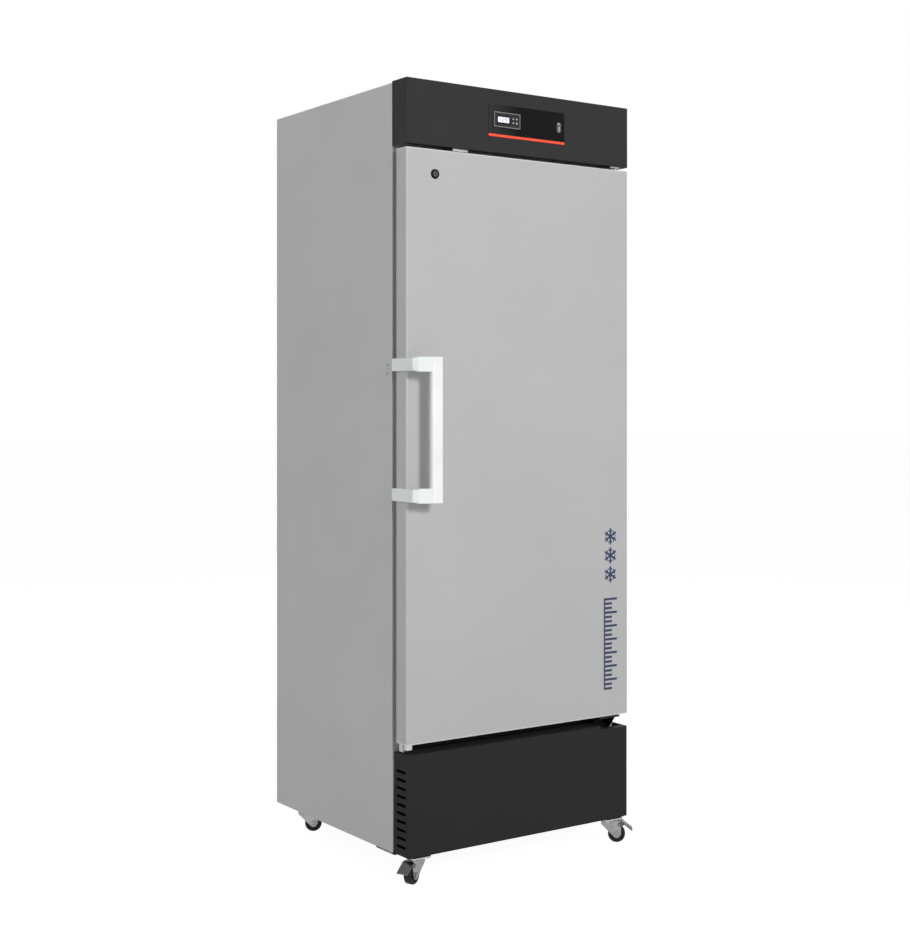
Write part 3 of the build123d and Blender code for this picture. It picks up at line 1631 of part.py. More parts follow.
def make_caster_wheel(name):
    """One wheel with a rounded tread, a recessed web and a hub."""
    with BuildPart() as wheel:
        with BuildSketch(caster_plane(name, -wheel_width / 2)):
            with Locations((wheel_offset, wheel_radius)):
                Circle(wheel_radius)
        extrude(amount=wheel_width)
        fillet(wheel.edges(), 3.0)
        for lateral in (-wheel_width / 2, wheel_width / 2 - 2.0):
            with BuildSketch(caster_plane(name, lateral)):
                with Locations((wheel_offset, wheel_radius)):
                    Circle(wheel_radius - 6.5)
                    Circle(10.0, mode=Mode.SUBTRACT)
            extrude(amount=2.0, mode=Mode.SUBTRACT)
        hub = leg_inner - 0.5
        with BuildSketch(caster_plane(name, -hub)):
            with Locations((wheel_offset, wheel_radius)):
                Circle(8.5)
        extrude(amount=2 * hub)
        with BuildSketch(caster_plane(name, -hub)):
            with Locations((wheel_offset, wheel_radius)):
                Circle(axle_radius + running_gap)
        extrude(amount=2 * hub, mode=Mode.SUBTRACT)
    save(wheel.part, f"caster_wheel_{name}")


def make_brake_pedal(name):
    """One brake pedal: a sloping tread plate between two cheeks on the fork's pivot pins."""
    cheek_inner = leg_inner + fork_wall + 0.3
    cheek = 1.4
    half = cheek_inner + cheek
    with BuildPart() as pedal:
        for lateral in (-half, cheek_inner):
            with BuildSketch(caster_plane(name, lateral)):
                with BuildLine():
                    Polyline(
                        (pedal_pivot[0] - 4.0, pedal_pivot[1] + 3.0),
                        (fork_tail + 1.5, fork_low + 2.0),
                        (fork_tail + 7.0, fork_low - 1.6),
                        (fork_tail + 7.0, fork_low - 8.0),
                        (pedal_pivot[0], pedal_pivot[1] - 4.5),
                        close=True,
                    )
                make_face()
                with Locations(pedal_pivot):
                    Circle(4.5)
                    Circle(pedal_pin + running_gap, mode=Mode.SUBTRACT)
            extrude(amount=cheek)
        with BuildSketch(caster_plane(name, -half)):
            with BuildLine():
                Polyline(
                    (fork_tail + 1.5, fork_low + 2.0),
                    (fork_tail + 27.0, fork_low - 17.0),
                    (fork_tail + 28.0, fork_low - 20.5),
                    (fork_tail + 25.5, fork_low - 19.7),
                    (fork_tail + 1.5, fork_low - 1.2),
                    close=True,
                )
            make_face()
        extrude(amount=2 * half)
    save(pedal.part, f"brake_pedal_{name}")


if __name__ == "__main__":
    make_cabinet_shell()
    make_rear_panel()
    make_panel_screws()
    make_foam()
    make_liner()
    make_breaker_frame()
    make_base_frame()
    make_header_cover()
    make_control_overlay()
    make_controller_housing()
    make_display_window()
    make_keys()
    make_data_port()
    make_kick_panel()
    make_rear_grille()
    make_power_inlet()
    make_compressor()
    make_compressor_mounts()
    make_condenser()
    make_condensate_pan()
    make_refrigerant_lines()
    make_evaporator()
    make_shelf_standards()
    make_shelves()
    make_top_hinge()
    make_bottom_hinge()
    make_switch_bracket()
    make_door_skin()
    make_door_foam()
    make_door_liner()
    make_door_gasket()
    make_end_caps()
    make_edge_cover()
    make_handle_bar()
    make_handle_brackets()
    make_lock_body()
    make_lock_plug()
    make_lock_bolt()
    make_caster_plates()
    for corner in casters:
        make_caster_fork(corner, corner.startswith("front"))
        make_caster_wheel(corner)
    for corner in ("front_left", "front_right"):
        make_brake_pedal(corner)
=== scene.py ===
"""Looks of the medical freezer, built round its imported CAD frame. Metres, +Z up, the door faces -Y."""

import math

import bmesh
import bpy
from mathutils import Matrix, Vector


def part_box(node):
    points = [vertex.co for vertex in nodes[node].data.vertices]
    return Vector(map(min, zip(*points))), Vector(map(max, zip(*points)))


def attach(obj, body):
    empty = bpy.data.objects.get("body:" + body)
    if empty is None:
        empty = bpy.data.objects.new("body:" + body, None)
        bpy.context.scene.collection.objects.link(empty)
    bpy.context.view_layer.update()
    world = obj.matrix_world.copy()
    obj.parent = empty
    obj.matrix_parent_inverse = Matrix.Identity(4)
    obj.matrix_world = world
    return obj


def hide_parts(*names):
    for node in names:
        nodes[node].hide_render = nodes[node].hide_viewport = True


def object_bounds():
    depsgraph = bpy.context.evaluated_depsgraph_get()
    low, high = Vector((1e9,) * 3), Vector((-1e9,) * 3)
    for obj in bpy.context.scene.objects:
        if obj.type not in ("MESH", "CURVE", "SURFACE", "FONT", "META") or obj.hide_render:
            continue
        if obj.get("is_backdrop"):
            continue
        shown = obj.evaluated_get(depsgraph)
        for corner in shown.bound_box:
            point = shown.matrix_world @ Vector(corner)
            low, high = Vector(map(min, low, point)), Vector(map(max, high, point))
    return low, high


bpy.ops.wm.read_factory_settings(use_empty=True)
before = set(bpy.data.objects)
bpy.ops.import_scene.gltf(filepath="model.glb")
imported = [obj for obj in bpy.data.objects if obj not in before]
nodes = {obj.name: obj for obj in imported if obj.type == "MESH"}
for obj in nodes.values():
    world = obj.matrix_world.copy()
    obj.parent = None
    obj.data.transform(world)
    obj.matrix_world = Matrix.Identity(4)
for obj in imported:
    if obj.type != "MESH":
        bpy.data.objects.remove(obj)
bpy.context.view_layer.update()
scene = bpy.context.scene
mm = 0.001

# Places read from the frame
shell_low, shell_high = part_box("cabinet_shell")
door_low, door_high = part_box("door_skin")
kick_low, kick_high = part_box("kick_panel")
overlay_low, overlay_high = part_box("control_overlay")
bezel_low, bezel_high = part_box("controller_housing")
window_low, window_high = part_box("display_window")
port_low, port_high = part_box("data_port")
half_width = door_high[0]
y_door = door_low[1]
base_z = shell_low[2]


# Materials

class Nodes:
    """A small helper that adds and links the nodes of one material."""

    def __init__(self, name):
        self.material = bpy.data.materials.new(name)
        self.material.use_nodes = True
        self.tree = self.material.node_tree
        self.shader = self.tree.nodes["Principled BSDF"]
        self.place = self.add("ShaderNodeTexCoord").outputs["Object"]

    def add(self, kind, inputs=None, **settings):
        node = self.tree.nodes.new(kind)
        for key, value in settings.items():
            setattr(node, key, value)
        for key, value in (inputs or {}).items():
            socket = node.inputs[key]
            if isinstance(value, bpy.types.NodeSocket):
                self.tree.links.new(value, socket)
            else:
                socket.default_value = value
        return node

    def set(self, **values):
        for key, value in values.items():
            socket = self.shader.inputs[key.replace("_", " ")]
            if isinstance(value, bpy.types.NodeSocket):
                self.tree.links.new(value, socket)
            else:
                socket.default_value = value

    def noise(self, scale, detail=3.0, stretch=None):
        place = self.place
        if stretch:
            place = self.add(
                "ShaderNodeMapping", {"Vector": place, "Scale": stretch}
            ).outputs["Vector"]
        return self.add(
            "ShaderNodeTexNoise", {"Vector": place, "Scale": scale, "Detail": detail}
        ).outputs["Fac"]

    def spread(self, value, low, high, start=0.35, end=0.65):
        return self.add(
            "ShaderNodeMapRange",
            {"Value": value, "From Min": start, "From Max": end, "To Min": low, "To Max": high},
        ).outputs["Result"]

    def tint(self, fac, dark, light):
        mix = self.add("ShaderNodeMix", data_type="RGBA")
        mix.inputs[6].default_value = (*dark, 1.0)
        mix.inputs[7].default_value = (*light, 1.0)
        self.tree.links.new(fac, mix.inputs[0])
        return mix.outputs[2]

    def bump(self, height, strength, distance):
        return self.add(
            "ShaderNodeBump", {"Height": height, "Strength": strength, "Distance": distance}
        ).outputs["Normal"]


def linear(value):
    """Linear light of one display value from 0 to 255."""
    part = value / 255.0
    return part / 12.92 if part <= 0.04045 else ((part + 0.055) / 1.055) ** 2.4


def rgb(red, green, blue):
    return (linear(red), linear(green), linear(blue))


def shade(colour, share):
    return tuple(channel * share for channel in colour)


def paint(name, colour, rough=0.42, peel=0.05, drift=0.012, grain=900.0, gloss=0.5):
    """Baked paint on sheet metal: a very fine orange peel, faint cloudiness and handling marks."""
    made = Nodes(name)
    cloud = made.spread(made.noise(3.1, 4.0), 0.0, 1.0)
    speck = made.spread(made.noise(420.0, 2.0), 0.0, 1.0, 0.30, 0.70)
    fleck = made.tint(speck, shade(colour, 0.985 - drift), shade(colour, 1.0 - drift))
    light = made.tint(speck, shade(colour, 1.0 + drift), shade(colour, 1.015 + drift))
    mixed = made.add("ShaderNodeMix", data_type="RGBA")
    made.tree.links.new(cloud, mixed.inputs[0])
    made.tree.links.new(fleck, mixed.inputs[6])
    made.tree.links.new(light, mixed.inputs[7])
    made.set(
        Base_Color=mixed.outputs[2],
        Roughness=made.spread(made.noise(11.0, 5.0), rough - 0.05, rough + 0.06),
        Specular_IOR_Level=gloss,
        Normal=made.bump(made.noise(grain, 2.0), peel, 0.0004),
    )
    return made.material


def plastic(name, colour, rough=0.38, grain=1600.0, depth=0.06, gloss=0.5):
    """Moulded plastic with a fine spark-eroded grain."""
    made = Nodes(name)
    cloud = made.spread(made.noise(9.0, 3.0), 0.0, 1.0)
    made.set(
        Base_Color=made.tint(cloud, shade(colour, 0.97), shade(colour, 1.03)),
        Roughness=made.spread(made.noise(60.0, 3.0), rough - 0.04, rough + 0.05),
        Normal=made.bump(made.noise(grain, 2.0), depth, 0.0003),
        Specular_IOR_Level=gloss,
    )
    return made.material


def rubber(name, colour, rough=0.72):
    """Dull rubber with light dust in its grain."""
    made = Nodes(name)
    dust = made.spread(made.noise(45.0, 6.0), 0.0, 1.0, 0.42, 0.70)
    made.set(
        Base_Color=made.tint(dust, colour, shade(colour, 1.7)),
        Roughness=made.spread(made.noise(80.0, 3.0), rough - 0.08, rough + 0.08),
        Normal=made.bump(made.noise(700.0, 3.0), 0.12, 0.0005),
        Specular_IOR_Level=0.25,
    )
    return made.material


def metal(name, colour, rough=0.32, grain=(1.0, 1.0, 14.0), scale=120.0, drift=0.10):
    """Rolled or plated metal: streaks along the rolling direction and uneven plating."""
    made = Nodes(name)
    streak = made.noise(scale, 4.0, grain)
    cloud = made.spread(made.noise(30.0, 4.0), 0.0, 1.0)
    made.set(
        Base_Color=made.tint(cloud, shade(colour, 1.0 - drift), shade(colour, 1.0 + drift)),
        Metallic=1.0,
        Roughness=made.spread(streak, rough - 0.07, rough + 0.09),
        Normal=made.bump(streak, 0.10, 0.0003),
    )
    return made.material


def foam(name, colour):
    """Cut polyurethane foam: small open cells."""
    made = Nodes(name)
    cells = made.add("ShaderNodeTexVoronoi", {"Vector": made.place, "Scale": 420.0}).outputs["Distance"]
    cloud = made.spread(made.noise(8.0, 4.0), 0.0, 1.0)
    made.set(
        Base_Color=made.tint(cloud, shade(colour, 0.92), shade(colour, 1.05)),
        Roughness=0.9,
        Normal=made.bump(cells, 0.5, 0.001),
    )
    return made.material


def printed(name, colour, rough=0.45):
    """Screen-printed ink, a little uneven in cover."""
    made = Nodes(name)
    cover = made.spread(made.noise(160.0, 3.0), 0.0, 1.0)
    made.set(
        Base_Color=made.tint(cover, shade(colour, 0.96), shade(colour, 1.04)),
        Roughness=made.spread(made.noise(300.0, 2.0), rough - 0.04, rough + 0.04),
    )
    return made.material


def film(name, painted_reflection_colour, right_colour):
    """A smooth printed film over the header, with a painted reflection: its colour fades from dark grey to
    near black.
    """
    made = Nodes(name)
    across = made.add("ShaderNodeSeparateXYZ", {"Vector": made.place}).outputs["X"]
    # Painted reflection: the film's colour is lighter towards its left end.
    painted_reflection_fade_start, painted_reflection_fade_end = overlay_low[0] + 10.0 * mm, overlay_low[0] + 85.0 * mm
    painted_reflection_fade = made.spread(across, 0.0, 1.0, painted_reflection_fade_start, painted_reflection_fade_end)
    made.set(
        Base_Color=made.tint(painted_reflection_fade, painted_reflection_colour, right_colour),
        Roughness=made.spread(made.noise(90.0, 3.0), 0.30, 0.38),
        Specular_IOR_Level=0.08,
        Normal=made.bump(made.noise(2400.0, 2.0), 0.02, 0.0002),
    )
    return made.material


def screen(name, colour):
    """The pale lit face of a liquid-crystal display, with a slow unevenness of its back light."""
    made = Nodes(name)
    cloud = made.spread(made.noise(40.0, 2.0), 0.0, 1.0)
    tint = made.tint(cloud, shade(colour, 0.93), colour)
    made.set(
        Base_Color=tint, Emission_Color=tint, Emission_Strength=0.25, Roughness=0.12, Coat_Weight=0.5
    )
    return made.material


cabinet_paint = paint("cabinet_paint", rgb(193, 193, 194), 0.50, gloss=0.3)
door_paint = paint("door_paint", rgb(186, 186, 187), 0.44, gloss=0.3)
header_paint = paint("header_paint", rgb(50, 50, 50), 0.55, 0.10, 0.02, gloss=0.08)
kick_paint = paint("kick_paint", rgb(45, 45, 45), 0.60, 0.10, 0.02, gloss=0.06)
# Black paint, also used for the strip of painted shade in the gap under the door.
black_paint_and_gap_shade = paint("black_paint_and_gap_shade", rgb(20, 20, 21), 0.45, 0.06, 0.04, gloss=0.25)
white_plastic = plastic("white_plastic", rgb(246, 247, 247), 0.34, gloss=0.35)
shelf_coat = plastic("shelf_coat", rgb(232, 234, 234), 0.34)
arm_plastic = plastic("arm_plastic", rgb(232, 238, 235), 0.36, gloss=0.35)
grey_plastic = plastic("grey_plastic", rgb(96, 97, 97), 0.45, gloss=0.3)
edge_grey = plastic("edge_grey", rgb(136, 136, 136), 0.45)
black_plastic = plastic("black_plastic", rgb(14, 14, 15), 0.34, gloss=0.3)
liner_plastic = plastic("liner_plastic", rgb(226, 229, 230), 0.48, 900.0, 0.012, gloss=0.3)
gasket_rubber = rubber("gasket_rubber", rgb(40, 40, 40), 0.62)
wheel_rubber = rubber("wheel_rubber", rgb(13, 13, 13), 0.50)
mount_rubber = rubber("mount_rubber", rgb(30, 30, 31), 0.78)
zinc = metal("zinc", rgb(188, 190, 192), 0.34)
galvanised = metal("galvanised", rgb(172, 176, 180), 0.44, (1.0, 1.0, 1.0), 26.0, 0.16)
fork_steel = metal("fork_steel", rgb(150, 151, 153), 0.24, (1.0, 1.0, 5.0), 60.0, 0.24)
pedal_steel = metal("pedal_steel", rgb(84, 85, 87), 0.30, (1.0, 1.0, 5.0), 60.0, 0.20)
lock_steel = metal("lock_steel", rgb(104, 106, 106), 0.22, (1.0, 1.0, 1.0), 90.0, 0.20)
aluminium = metal("aluminium", rgb(206, 208, 210), 0.34, (18.0, 1.0, 1.0), 90.0)
copper = metal("copper", rgb(196, 120, 84), 0.30, (1.0, 1.0, 1.0), 40.0, 0.14)
foam_cells = foam("foam_cells", rgb(228, 206, 150))
cap_plastic = plastic("cap_plastic", rgb(206, 207, 207), 0.40)
# The grey at the overlay's left end is a painted reflection on the black film.
overlay_film_painted_reflection = film("overlay_film_painted_reflection", rgb(45, 47, 46), rgb(7, 7, 8))
navy_ink = printed("navy_ink", rgb(33, 47, 84))
orange_ink = printed("orange_ink", rgb(255, 76, 36), 0.40)
white_ink = printed("white_ink", rgb(226, 228, 230))
line_ink = printed("line_ink", rgb(116, 120, 119))
display_face = screen("display_face", rgb(238, 238, 252))
digit_ink = printed("digit_ink", rgb(84, 84, 226), 0.25)
rim_metal = metal("rim_metal", rgb(120, 120, 120), 0.36, (1.0, 1.0, 1.0), 60.0)
tongue_plastic = plastic("tongue_plastic", rgb(228, 220, 204), 0.40)
# Black of the display's mask, also used as painted shade in the screw heads' cross recesses.
black_mask_and_recess_shade = plastic("black_mask_and_recess_shade", rgb(6, 6, 6), 0.6, gloss=0.1)
# Pure black that stands in for the shade inside the kick panel's openings: painted shade.
painted_shade_black = plastic("painted_shade_black", rgb(2, 2, 2), 0.9, gloss=0.0)
lock_black = plastic("lock_black", rgb(6, 6, 6), 0.26, gloss=0.15)

finish_of = {
    "cabinet_shell": cabinet_paint,
    "rear_panel": cabinet_paint,
    "panel_screws": zinc,
    "foam_insulation": foam_cells,
    "inner_liner": liner_plastic,
    "breaker_frame": grey_plastic,
    "base_frame": black_paint_and_gap_shade,
    "header_cover": header_paint,
    "control_overlay": overlay_film_painted_reflection,
    "controller_housing": black_plastic,
    "display_window": display_face,
    "key_down": black_plastic,
    "key_up": black_plastic,
    "key_set": black_plastic,
    "key_mute": black_plastic,
    "data_port": black_plastic,
    "kick_panel": kick_paint,
    "rear_grille": galvanised,
    "power_inlet": black_plastic,
    "compressor": black_paint_and_gap_shade,
    "compressor_mounts": mount_rubber,
    "condenser_coil": aluminium,
    "condenser_fan_motor": black_paint_and_gap_shade,
    "condenser_fan": aluminium,
    "condensate_pan": black_plastic,
    "refrigerant_lines": copper,
    "evaporator_coil": aluminium,
    "evaporator_cover": liner_plastic,
    "evaporator_fan_motor": black_paint_and_gap_shade,
    "evaporator_fan": black_plastic,
    "shelf_standards": galvanised,
    "top_hinge_bracket": zinc,
    "bottom_hinge_bracket": black_paint_and_gap_shade,
    "door_switch_bracket": zinc,
    "door_skin": door_paint,
    "door_foam": foam_cells,
    "door_liner": liner_plastic,
    "door_gasket": gasket_rubber,
    "door_end_caps": cap_plastic,
    "door_edge_cover": edge_grey,
    "handle_bar": white_plastic,
    "handle_brackets": arm_plastic,
    "lock_body": lock_black,
    "lock_plug": lock_steel,
    "lock_bolt": zinc,
    "caster_plates": zinc,
    "brake_pedal_front_left": pedal_steel,
    "brake_pedal_front_right": pedal_steel,
}
for number in range(1, 5):
    finish_of[f"shelf_{number}"] = shelf_coat
corners = ("front_left", "front_right", "rear_left", "rear_right")
for corner in corners:
    finish_of[f"caster_fork_{corner}"] = fork_steel
    finish_of[f"caster_wheel_{corner}"] = wheel_rubber

# Roundings of the bent and moulded edges, in millimetres
soft_edges = {
    "cabinet_shell": 0.4,
    "header_cover": 0.4,
    "kick_panel": 0.4,
    "door_end_caps": 0.6,
    "handle_brackets": 1.0,
    "caster_plates": 0.3,
    "top_hinge_bracket": 0.4,
    "bottom_hinge_bracket": 0.4,
    "door_switch_bracket": 0.2,
    "evaporator_cover": 0.3,
    "door_liner": 0.6,
}
for corner in corners:
    soft_edges[f"caster_fork_{corner}"] = 0.4


def smooth_by_angle(obj, degrees=35.0):
    """Shades a mesh smooth, apart from edges sharper than the angle."""
    mesh = obj.data
    for polygon in mesh.polygons:
        polygon.use_smooth = True
    mesh.set_sharp_from_angle(angle=math.radians(degrees))


for name, node in nodes.items():
    node.data.materials.clear()
    node.data.materials.append(finish_of[name])
    if name in soft_edges:
        weld = node.modifiers.new("weld", "WELD")
        weld.merge_threshold = 0.00001
        bevel = node.modifiers.new("bevel", "BEVEL")
        bevel.width = soft_edges[name] * mm
        bevel.segments = 2
        bevel.limit_method = "ANGLE"
        bevel.angle_limit = math.radians(40.0)
        bevel.harden_normals = False


# Mesh helpers

def add_object(name, mesh, material, body):
    """Puts a finished mesh in the scene on one CAD body."""
    obj = bpy.data.objects.new(name, mesh)
    scene.collection.objects.link(obj)
    mesh.materials.append(material)
    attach(obj, body)
    return obj


def raised_shape(name, outlines, thickness, material, body, place, across, up):
    """Thin raised print or plate: closed outlines in a plane, each a list of (u, v) in metres."""
    out = across.cross(up)
    mesh = bpy.data.meshes.new(name)
    work = bmesh.new()
    for outline in outlines:
        lower = [work.verts.new(place + across * u + up * v) for u, v in outline]
        face = work.faces.new(lower)
        made = bmesh.ops.extrude_face_region(work, geom=[face])
        raised = [item for item in made["geom"] if isinstance(item, bmesh.types.BMVert)]
        bmesh.ops.translate(work, verts=raised, vec=out * thickness)
    bmesh.ops.recalc_face_normals(work, faces=work.faces)
    work.to_mesh(mesh)
    work.free()
    return add_object(name, mesh, material, body)


def rectangle(u, v, width, height):
    """The corners of a rectangle round (u, v)."""
    return [
        (u - width / 2, v - height / 2),
        (u + width / 2, v - height / 2),
        (u + width / 2, v + height / 2),
        (u - width / 2, v + height / 2),
    ]


def round_rectangle(u, v, width, height, radius, steps=5):
    """A rectangle with round corners, each in a few steps."""
    points = []
    for cx, cy, start in (
        (u + width / 2 - radius, v - height / 2 + radius, -90),
        (u + width / 2 - radius, v + height / 2 - radius, 0),
        (u - width / 2 + radius, v + height / 2 - radius, 90),
        (u - width / 2 + radius, v - height / 2 + radius, 180),
    ):
        for step in range(steps + 1):
            turn = math.radians(start + 90.0 * step / steps)
            points.append((cx + radius * math.cos(turn), cy + radius * math.sin(turn)))
    return points


def ring_strips(u, v, width, height, line):
    """Four strips that make a thin frame line."""
    return [
        rectangle(u, v + (height - line) / 2, width, line),
        rectangle(u, v - (height - line) / 2, width, line),
        rectangle(u + (width - line) / 2, v, line, height - 2 * line),
        rectangle(u - (width - line) / 2, v, line, height - 2 * line),
    ]


def bar_between(a, b, width):
    """A straight bar's outline from a to b."""
    along = Vector(b) - Vector(a)
    side = Vector((-along.y, along.x)).normalized() * width / 2
    corners = (Vector(a) - side, Vector(b) - side, Vector(b) + side, Vector(a) + side)
    return [tuple(corner) for corner in corners]


def band(outer, inner):
    """A flat ring between two outlines with as many points, cut into quads."""
    count = len(outer)
    return [
        [outer[n], outer[(n + 1) % count], inner[(n + 1) % count], inner[n]] for n in range(count)
    ]


def face_middle(low, high):
    """The middle of a box's front face."""
    return Vector(((low[0] + high[0]) / 2, low[1], (low[2] + high[2]) / 2))


right = Vector((1, 0, 0))
up = Vector((0, 0, 1))


# Header: the stripe, and the outline of the controller and of its display

overlay_mid = (overlay_low[0] + overlay_high[0]) / 2
overlay_width = overlay_high[0] - overlay_low[0]
stripe_height = 5.8 * mm
stripe_corner = 1.2 * mm
stripe_thick = 0.25 * mm
raised_shape(
    "header_stripe",
    [round_rectangle(0, 0, overlay_width, stripe_height, stripe_corner)],
    stripe_thick, orange_ink, "cabinet",
    Vector((overlay_mid, overlay_low[1], overlay_low[2] + stripe_height / 2)), right, up,
)

line_thick = 0.15 * mm
bezel_line = 1.9 * mm
bezel_margin = 1.0 * mm
bezel_width = bezel_high[0] - bezel_low[0]
bezel_height = bezel_high[2] - bezel_low[2]
raised_shape(
    "bezel_line",
    ring_strips(0, 0, bezel_width - bezel_margin, bezel_height - bezel_margin, bezel_line),
    line_thick, line_ink, "cabinet", face_middle(bezel_low, bezel_high), right, up,
)

window_mid = face_middle(window_low, window_high)
mask_width = window_high[0] - window_low[0] + 3.0 * mm
mask_height = window_high[2] - window_low[2] + 2.4 * mm
mask_row = 3.2 * mm
mask_side = 2.2 * mm
mask_mid = Vector((window_mid.x, min(bezel_low[1], window_low[1]), window_mid.z))
raised_shape(
    "display_mask",
    ring_strips(0, 0, mask_width, mask_height, mask_row)[:2]
    + [rectangle(side * (mask_width - mask_side) / 2, 0, mask_side, mask_height) for side in (-1, 1)],
    line_thick, black_mask_and_recess_shade, "cabinet", mask_mid, right, up,
)


# Display digits

segments = {
    "a": ((0, 1), (1, 1)), "b": ((1, 0.5), (1, 1)), "c": ((1, 0), (1, 0.5)), "d": ((0, 0), (1, 0)),
    "e": ((0, 0), (0, 0.5)), "f": ((0, 0.5), (0, 1)), "g": ((0, 0.5), (1, 0.5)),
}
shapes = {"-": "g", "2": "abged", "5": "afgcd"}


def digit_outlines(sign, u, v, width, height, line):
    """The lit bars of one seven-segment sign."""
    outlines = []
    for key in shapes[sign]:
        (ax, ay), (bx, by) = segments[key]
        a = Vector((u + ax * width, v + ay * height))
        b = Vector((u + bx * width, v + by * height))
        gap = (b - a).normalized() * line * 0.6
        outlines.append(bar_between(a + gap, b - gap, line))
    return outlines


digit_width = 4.6 * mm
digit_height = 8.6 * mm
digit_line = 1.35 * mm
digit_start = -11.0 * mm
digit_pitch = 8.0 * mm
degree_dot = round_rectangle(12.2 * mm, 3.2 * mm, 1.8 * mm, 1.8 * mm, 0.8 * mm)
outlines = []
for place, sign in enumerate("-25"):
    u = digit_start + digit_pitch * place
    outlines += digit_outlines(sign, u, -digit_height / 2, digit_width, digit_height, digit_line)
outlines.append(degree_dot)
raised_shape("display_digits", outlines, 0.1 * mm, digit_ink, "cabinet", window_mid, right, up)


# Key marks

key_marks = {
    "key_up": [[(-2.3 * mm, -1.5 * mm), (2.3 * mm, -1.5 * mm), (0, 1.7 * mm)]],
    "key_down": [[(0, -1.7 * mm), (2.3 * mm, 1.5 * mm), (-2.3 * mm, 1.5 * mm)]],
    "key_set": [rectangle(0, (1.5 - 1.5 * row) * mm, 4.4 * mm, 0.8 * mm) for row in range(3)],
    "key_mute": [round_rectangle(0, 0, 3.6 * mm, 3.6 * mm, 1.7 * mm)],
}
for key, marks in key_marks.items():
    key_face = face_middle(*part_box(key))
    raised_shape(f"{key}_mark", marks, 0.08 * mm, white_ink, key, key_face, right, up)


# Data port: metal rim, tongue and pilot light

rim = 1.5 * mm
rim_steps = 8
port_mid = face_middle(port_low, port_high)
port_width = port_high[0] - port_low[0]
port_height = port_high[2] - port_low[2]
port_radius = port_width / 2 - 0.1 * mm
mouth_width = port_width - 2 * rim
mouth_height = port_height - 2 * rim
raised_shape(
    "port_rim",
    band(
        round_rectangle(0, 0, port_width, port_height, port_radius, rim_steps),
        round_rectangle(0, 0, mouth_width, mouth_height, port_radius - rim, rim_steps),
    ),
    0.3 * mm, rim_metal, "cabinet", port_mid, right, up,
)
raised_shape(
    "port_tongue", [round_rectangle(0.6 * mm, -2.6 * mm, 2.6 * mm, 12.0 * mm, 0.6 * mm)],
    0.2 * mm, tongue_plastic, "cabinet", port_mid, right, up,
)
raised_shape(
    "port_pilot", [round_rectangle(0, 8.0 * mm, 3.4 * mm, 3.4 * mm, 1.6 * mm)],
    0.5 * mm, white_ink, "cabinet", port_mid, right, up,
)


# Door print: three plain cold stars over a level scale

print_x = -half_width + 594.0 * mm
print_width = 42.0 * mm
star_reach = 20.0 * mm
star_line = 5.0 * mm
branch_line = 0.55 * star_line
branch_lean = 52
star_heights = [(690.0 - 46.5 * step) * mm for step in range(3)]


def turned(degrees):
    """The unit vector at an angle."""
    return Vector((math.cos(math.radians(degrees)), math.sin(math.radians(degrees))))


for number, height in enumerate(star_heights):
    star_mid = Vector((print_x, y_door, base_z + height))
    for arm in range(3):
        way = turned(90 + 60 * arm)
        raised_shape(
            f"cold_star_{number}_arm_{arm}", [bar_between(-way * star_reach, way * star_reach, star_line)],
            (0.10 + 0.01 * arm) * mm, navy_ink, "door", star_mid, right, up,
        )
    branches = []
    for arm in range(6):
        root = turned(90 + 60 * arm) * star_reach * 0.50
        for lean in (-branch_lean, branch_lean):
            tip = root + turned(90 + 60 * arm + lean) * star_reach * 0.40
            branches.append(bar_between(root, tip, branch_line))
    raised_shape(
        f"cold_star_{number}_branches", branches, 0.09 * mm, navy_ink, "door", star_mid, right, up
    )

tick_count = 21
tick_pitch = 10.9 * mm
tick_line = 5.6 * mm
stem_width = 4.4 * mm
stem_height = (tick_count - 1) * tick_pitch
scale_top = Vector((print_x, y_door, base_z + 537.0 * mm))
ticks = []
for number in range(tick_count):
    width = print_width if number % 3 == 0 else 0.62 * print_width
    ticks.append(rectangle((width - print_width) / 2, -number * tick_pitch, width, tick_line))
stem = rectangle((stem_width - print_width) / 2, -stem_height / 2, stem_width, stem_height)
raised_shape("level_scale", ticks, 0.1 * mm, navy_ink, "door", scale_top, right, up)
raised_shape("level_scale_stem", [stem], 0.11 * mm, navy_ink, "door", scale_top, right, up)


# Black sheets of painted shade behind the kick panel's openings, and a black strip of painted shade in the
# gap under the door

kick_sheet = 1.2 * mm
painted_shade_thick = 0.6 * mm
painted_shade_length = 46.0 * mm
painted_shade_height = 188.0 * mm
painted_shade_corner = 3.0 * mm
painted_shade_mid_y = kick_low[1] + 28.0 * mm
painted_shade_mid_z = kick_low[2] + 104.0 * mm
# Painted shade: black sheets just inside the side openings, in place of the shade behind the louvres.
for side, side_name in ((-1, "left"), (1, "right")):
    wall_x = kick_low[0] if side < 0 else kick_high[0]
    painted_shade_x = wall_x - side * (kick_sheet + painted_shade_thick)
    raised_shape(
        f"painted_shade_{side_name}",
        [round_rectangle(0, 0, painted_shade_length, painted_shade_height, painted_shade_corner)],
        painted_shade_thick, painted_shade_black, "cabinet",
        Vector((painted_shade_x, painted_shade_mid_y, painted_shade_mid_z)), Vector((0, side, 0)), up,
    )

# Painted shade: a black strip on the cabinet front, in the gap between the door and the kick panel, stands
# in for the shade there.
gap_shade_inset = 52.0 * mm
gap_shade_width = shell_high[0] - shell_low[0] - 2 * gap_shade_inset
gap_shade_height = 36.0 * mm
gap_shade_top = kick_high[2] + 21.5 * mm
raised_shape(
    "painted_gap_shade", [rectangle(0, 0, gap_shade_width, gap_shade_height)], 0.5 * mm, black_paint_and_gap_shade, "cabinet",
    Vector((0.0, shell_low[1], gap_shade_top - gap_shade_height / 2)), right, up,
)


# Screws

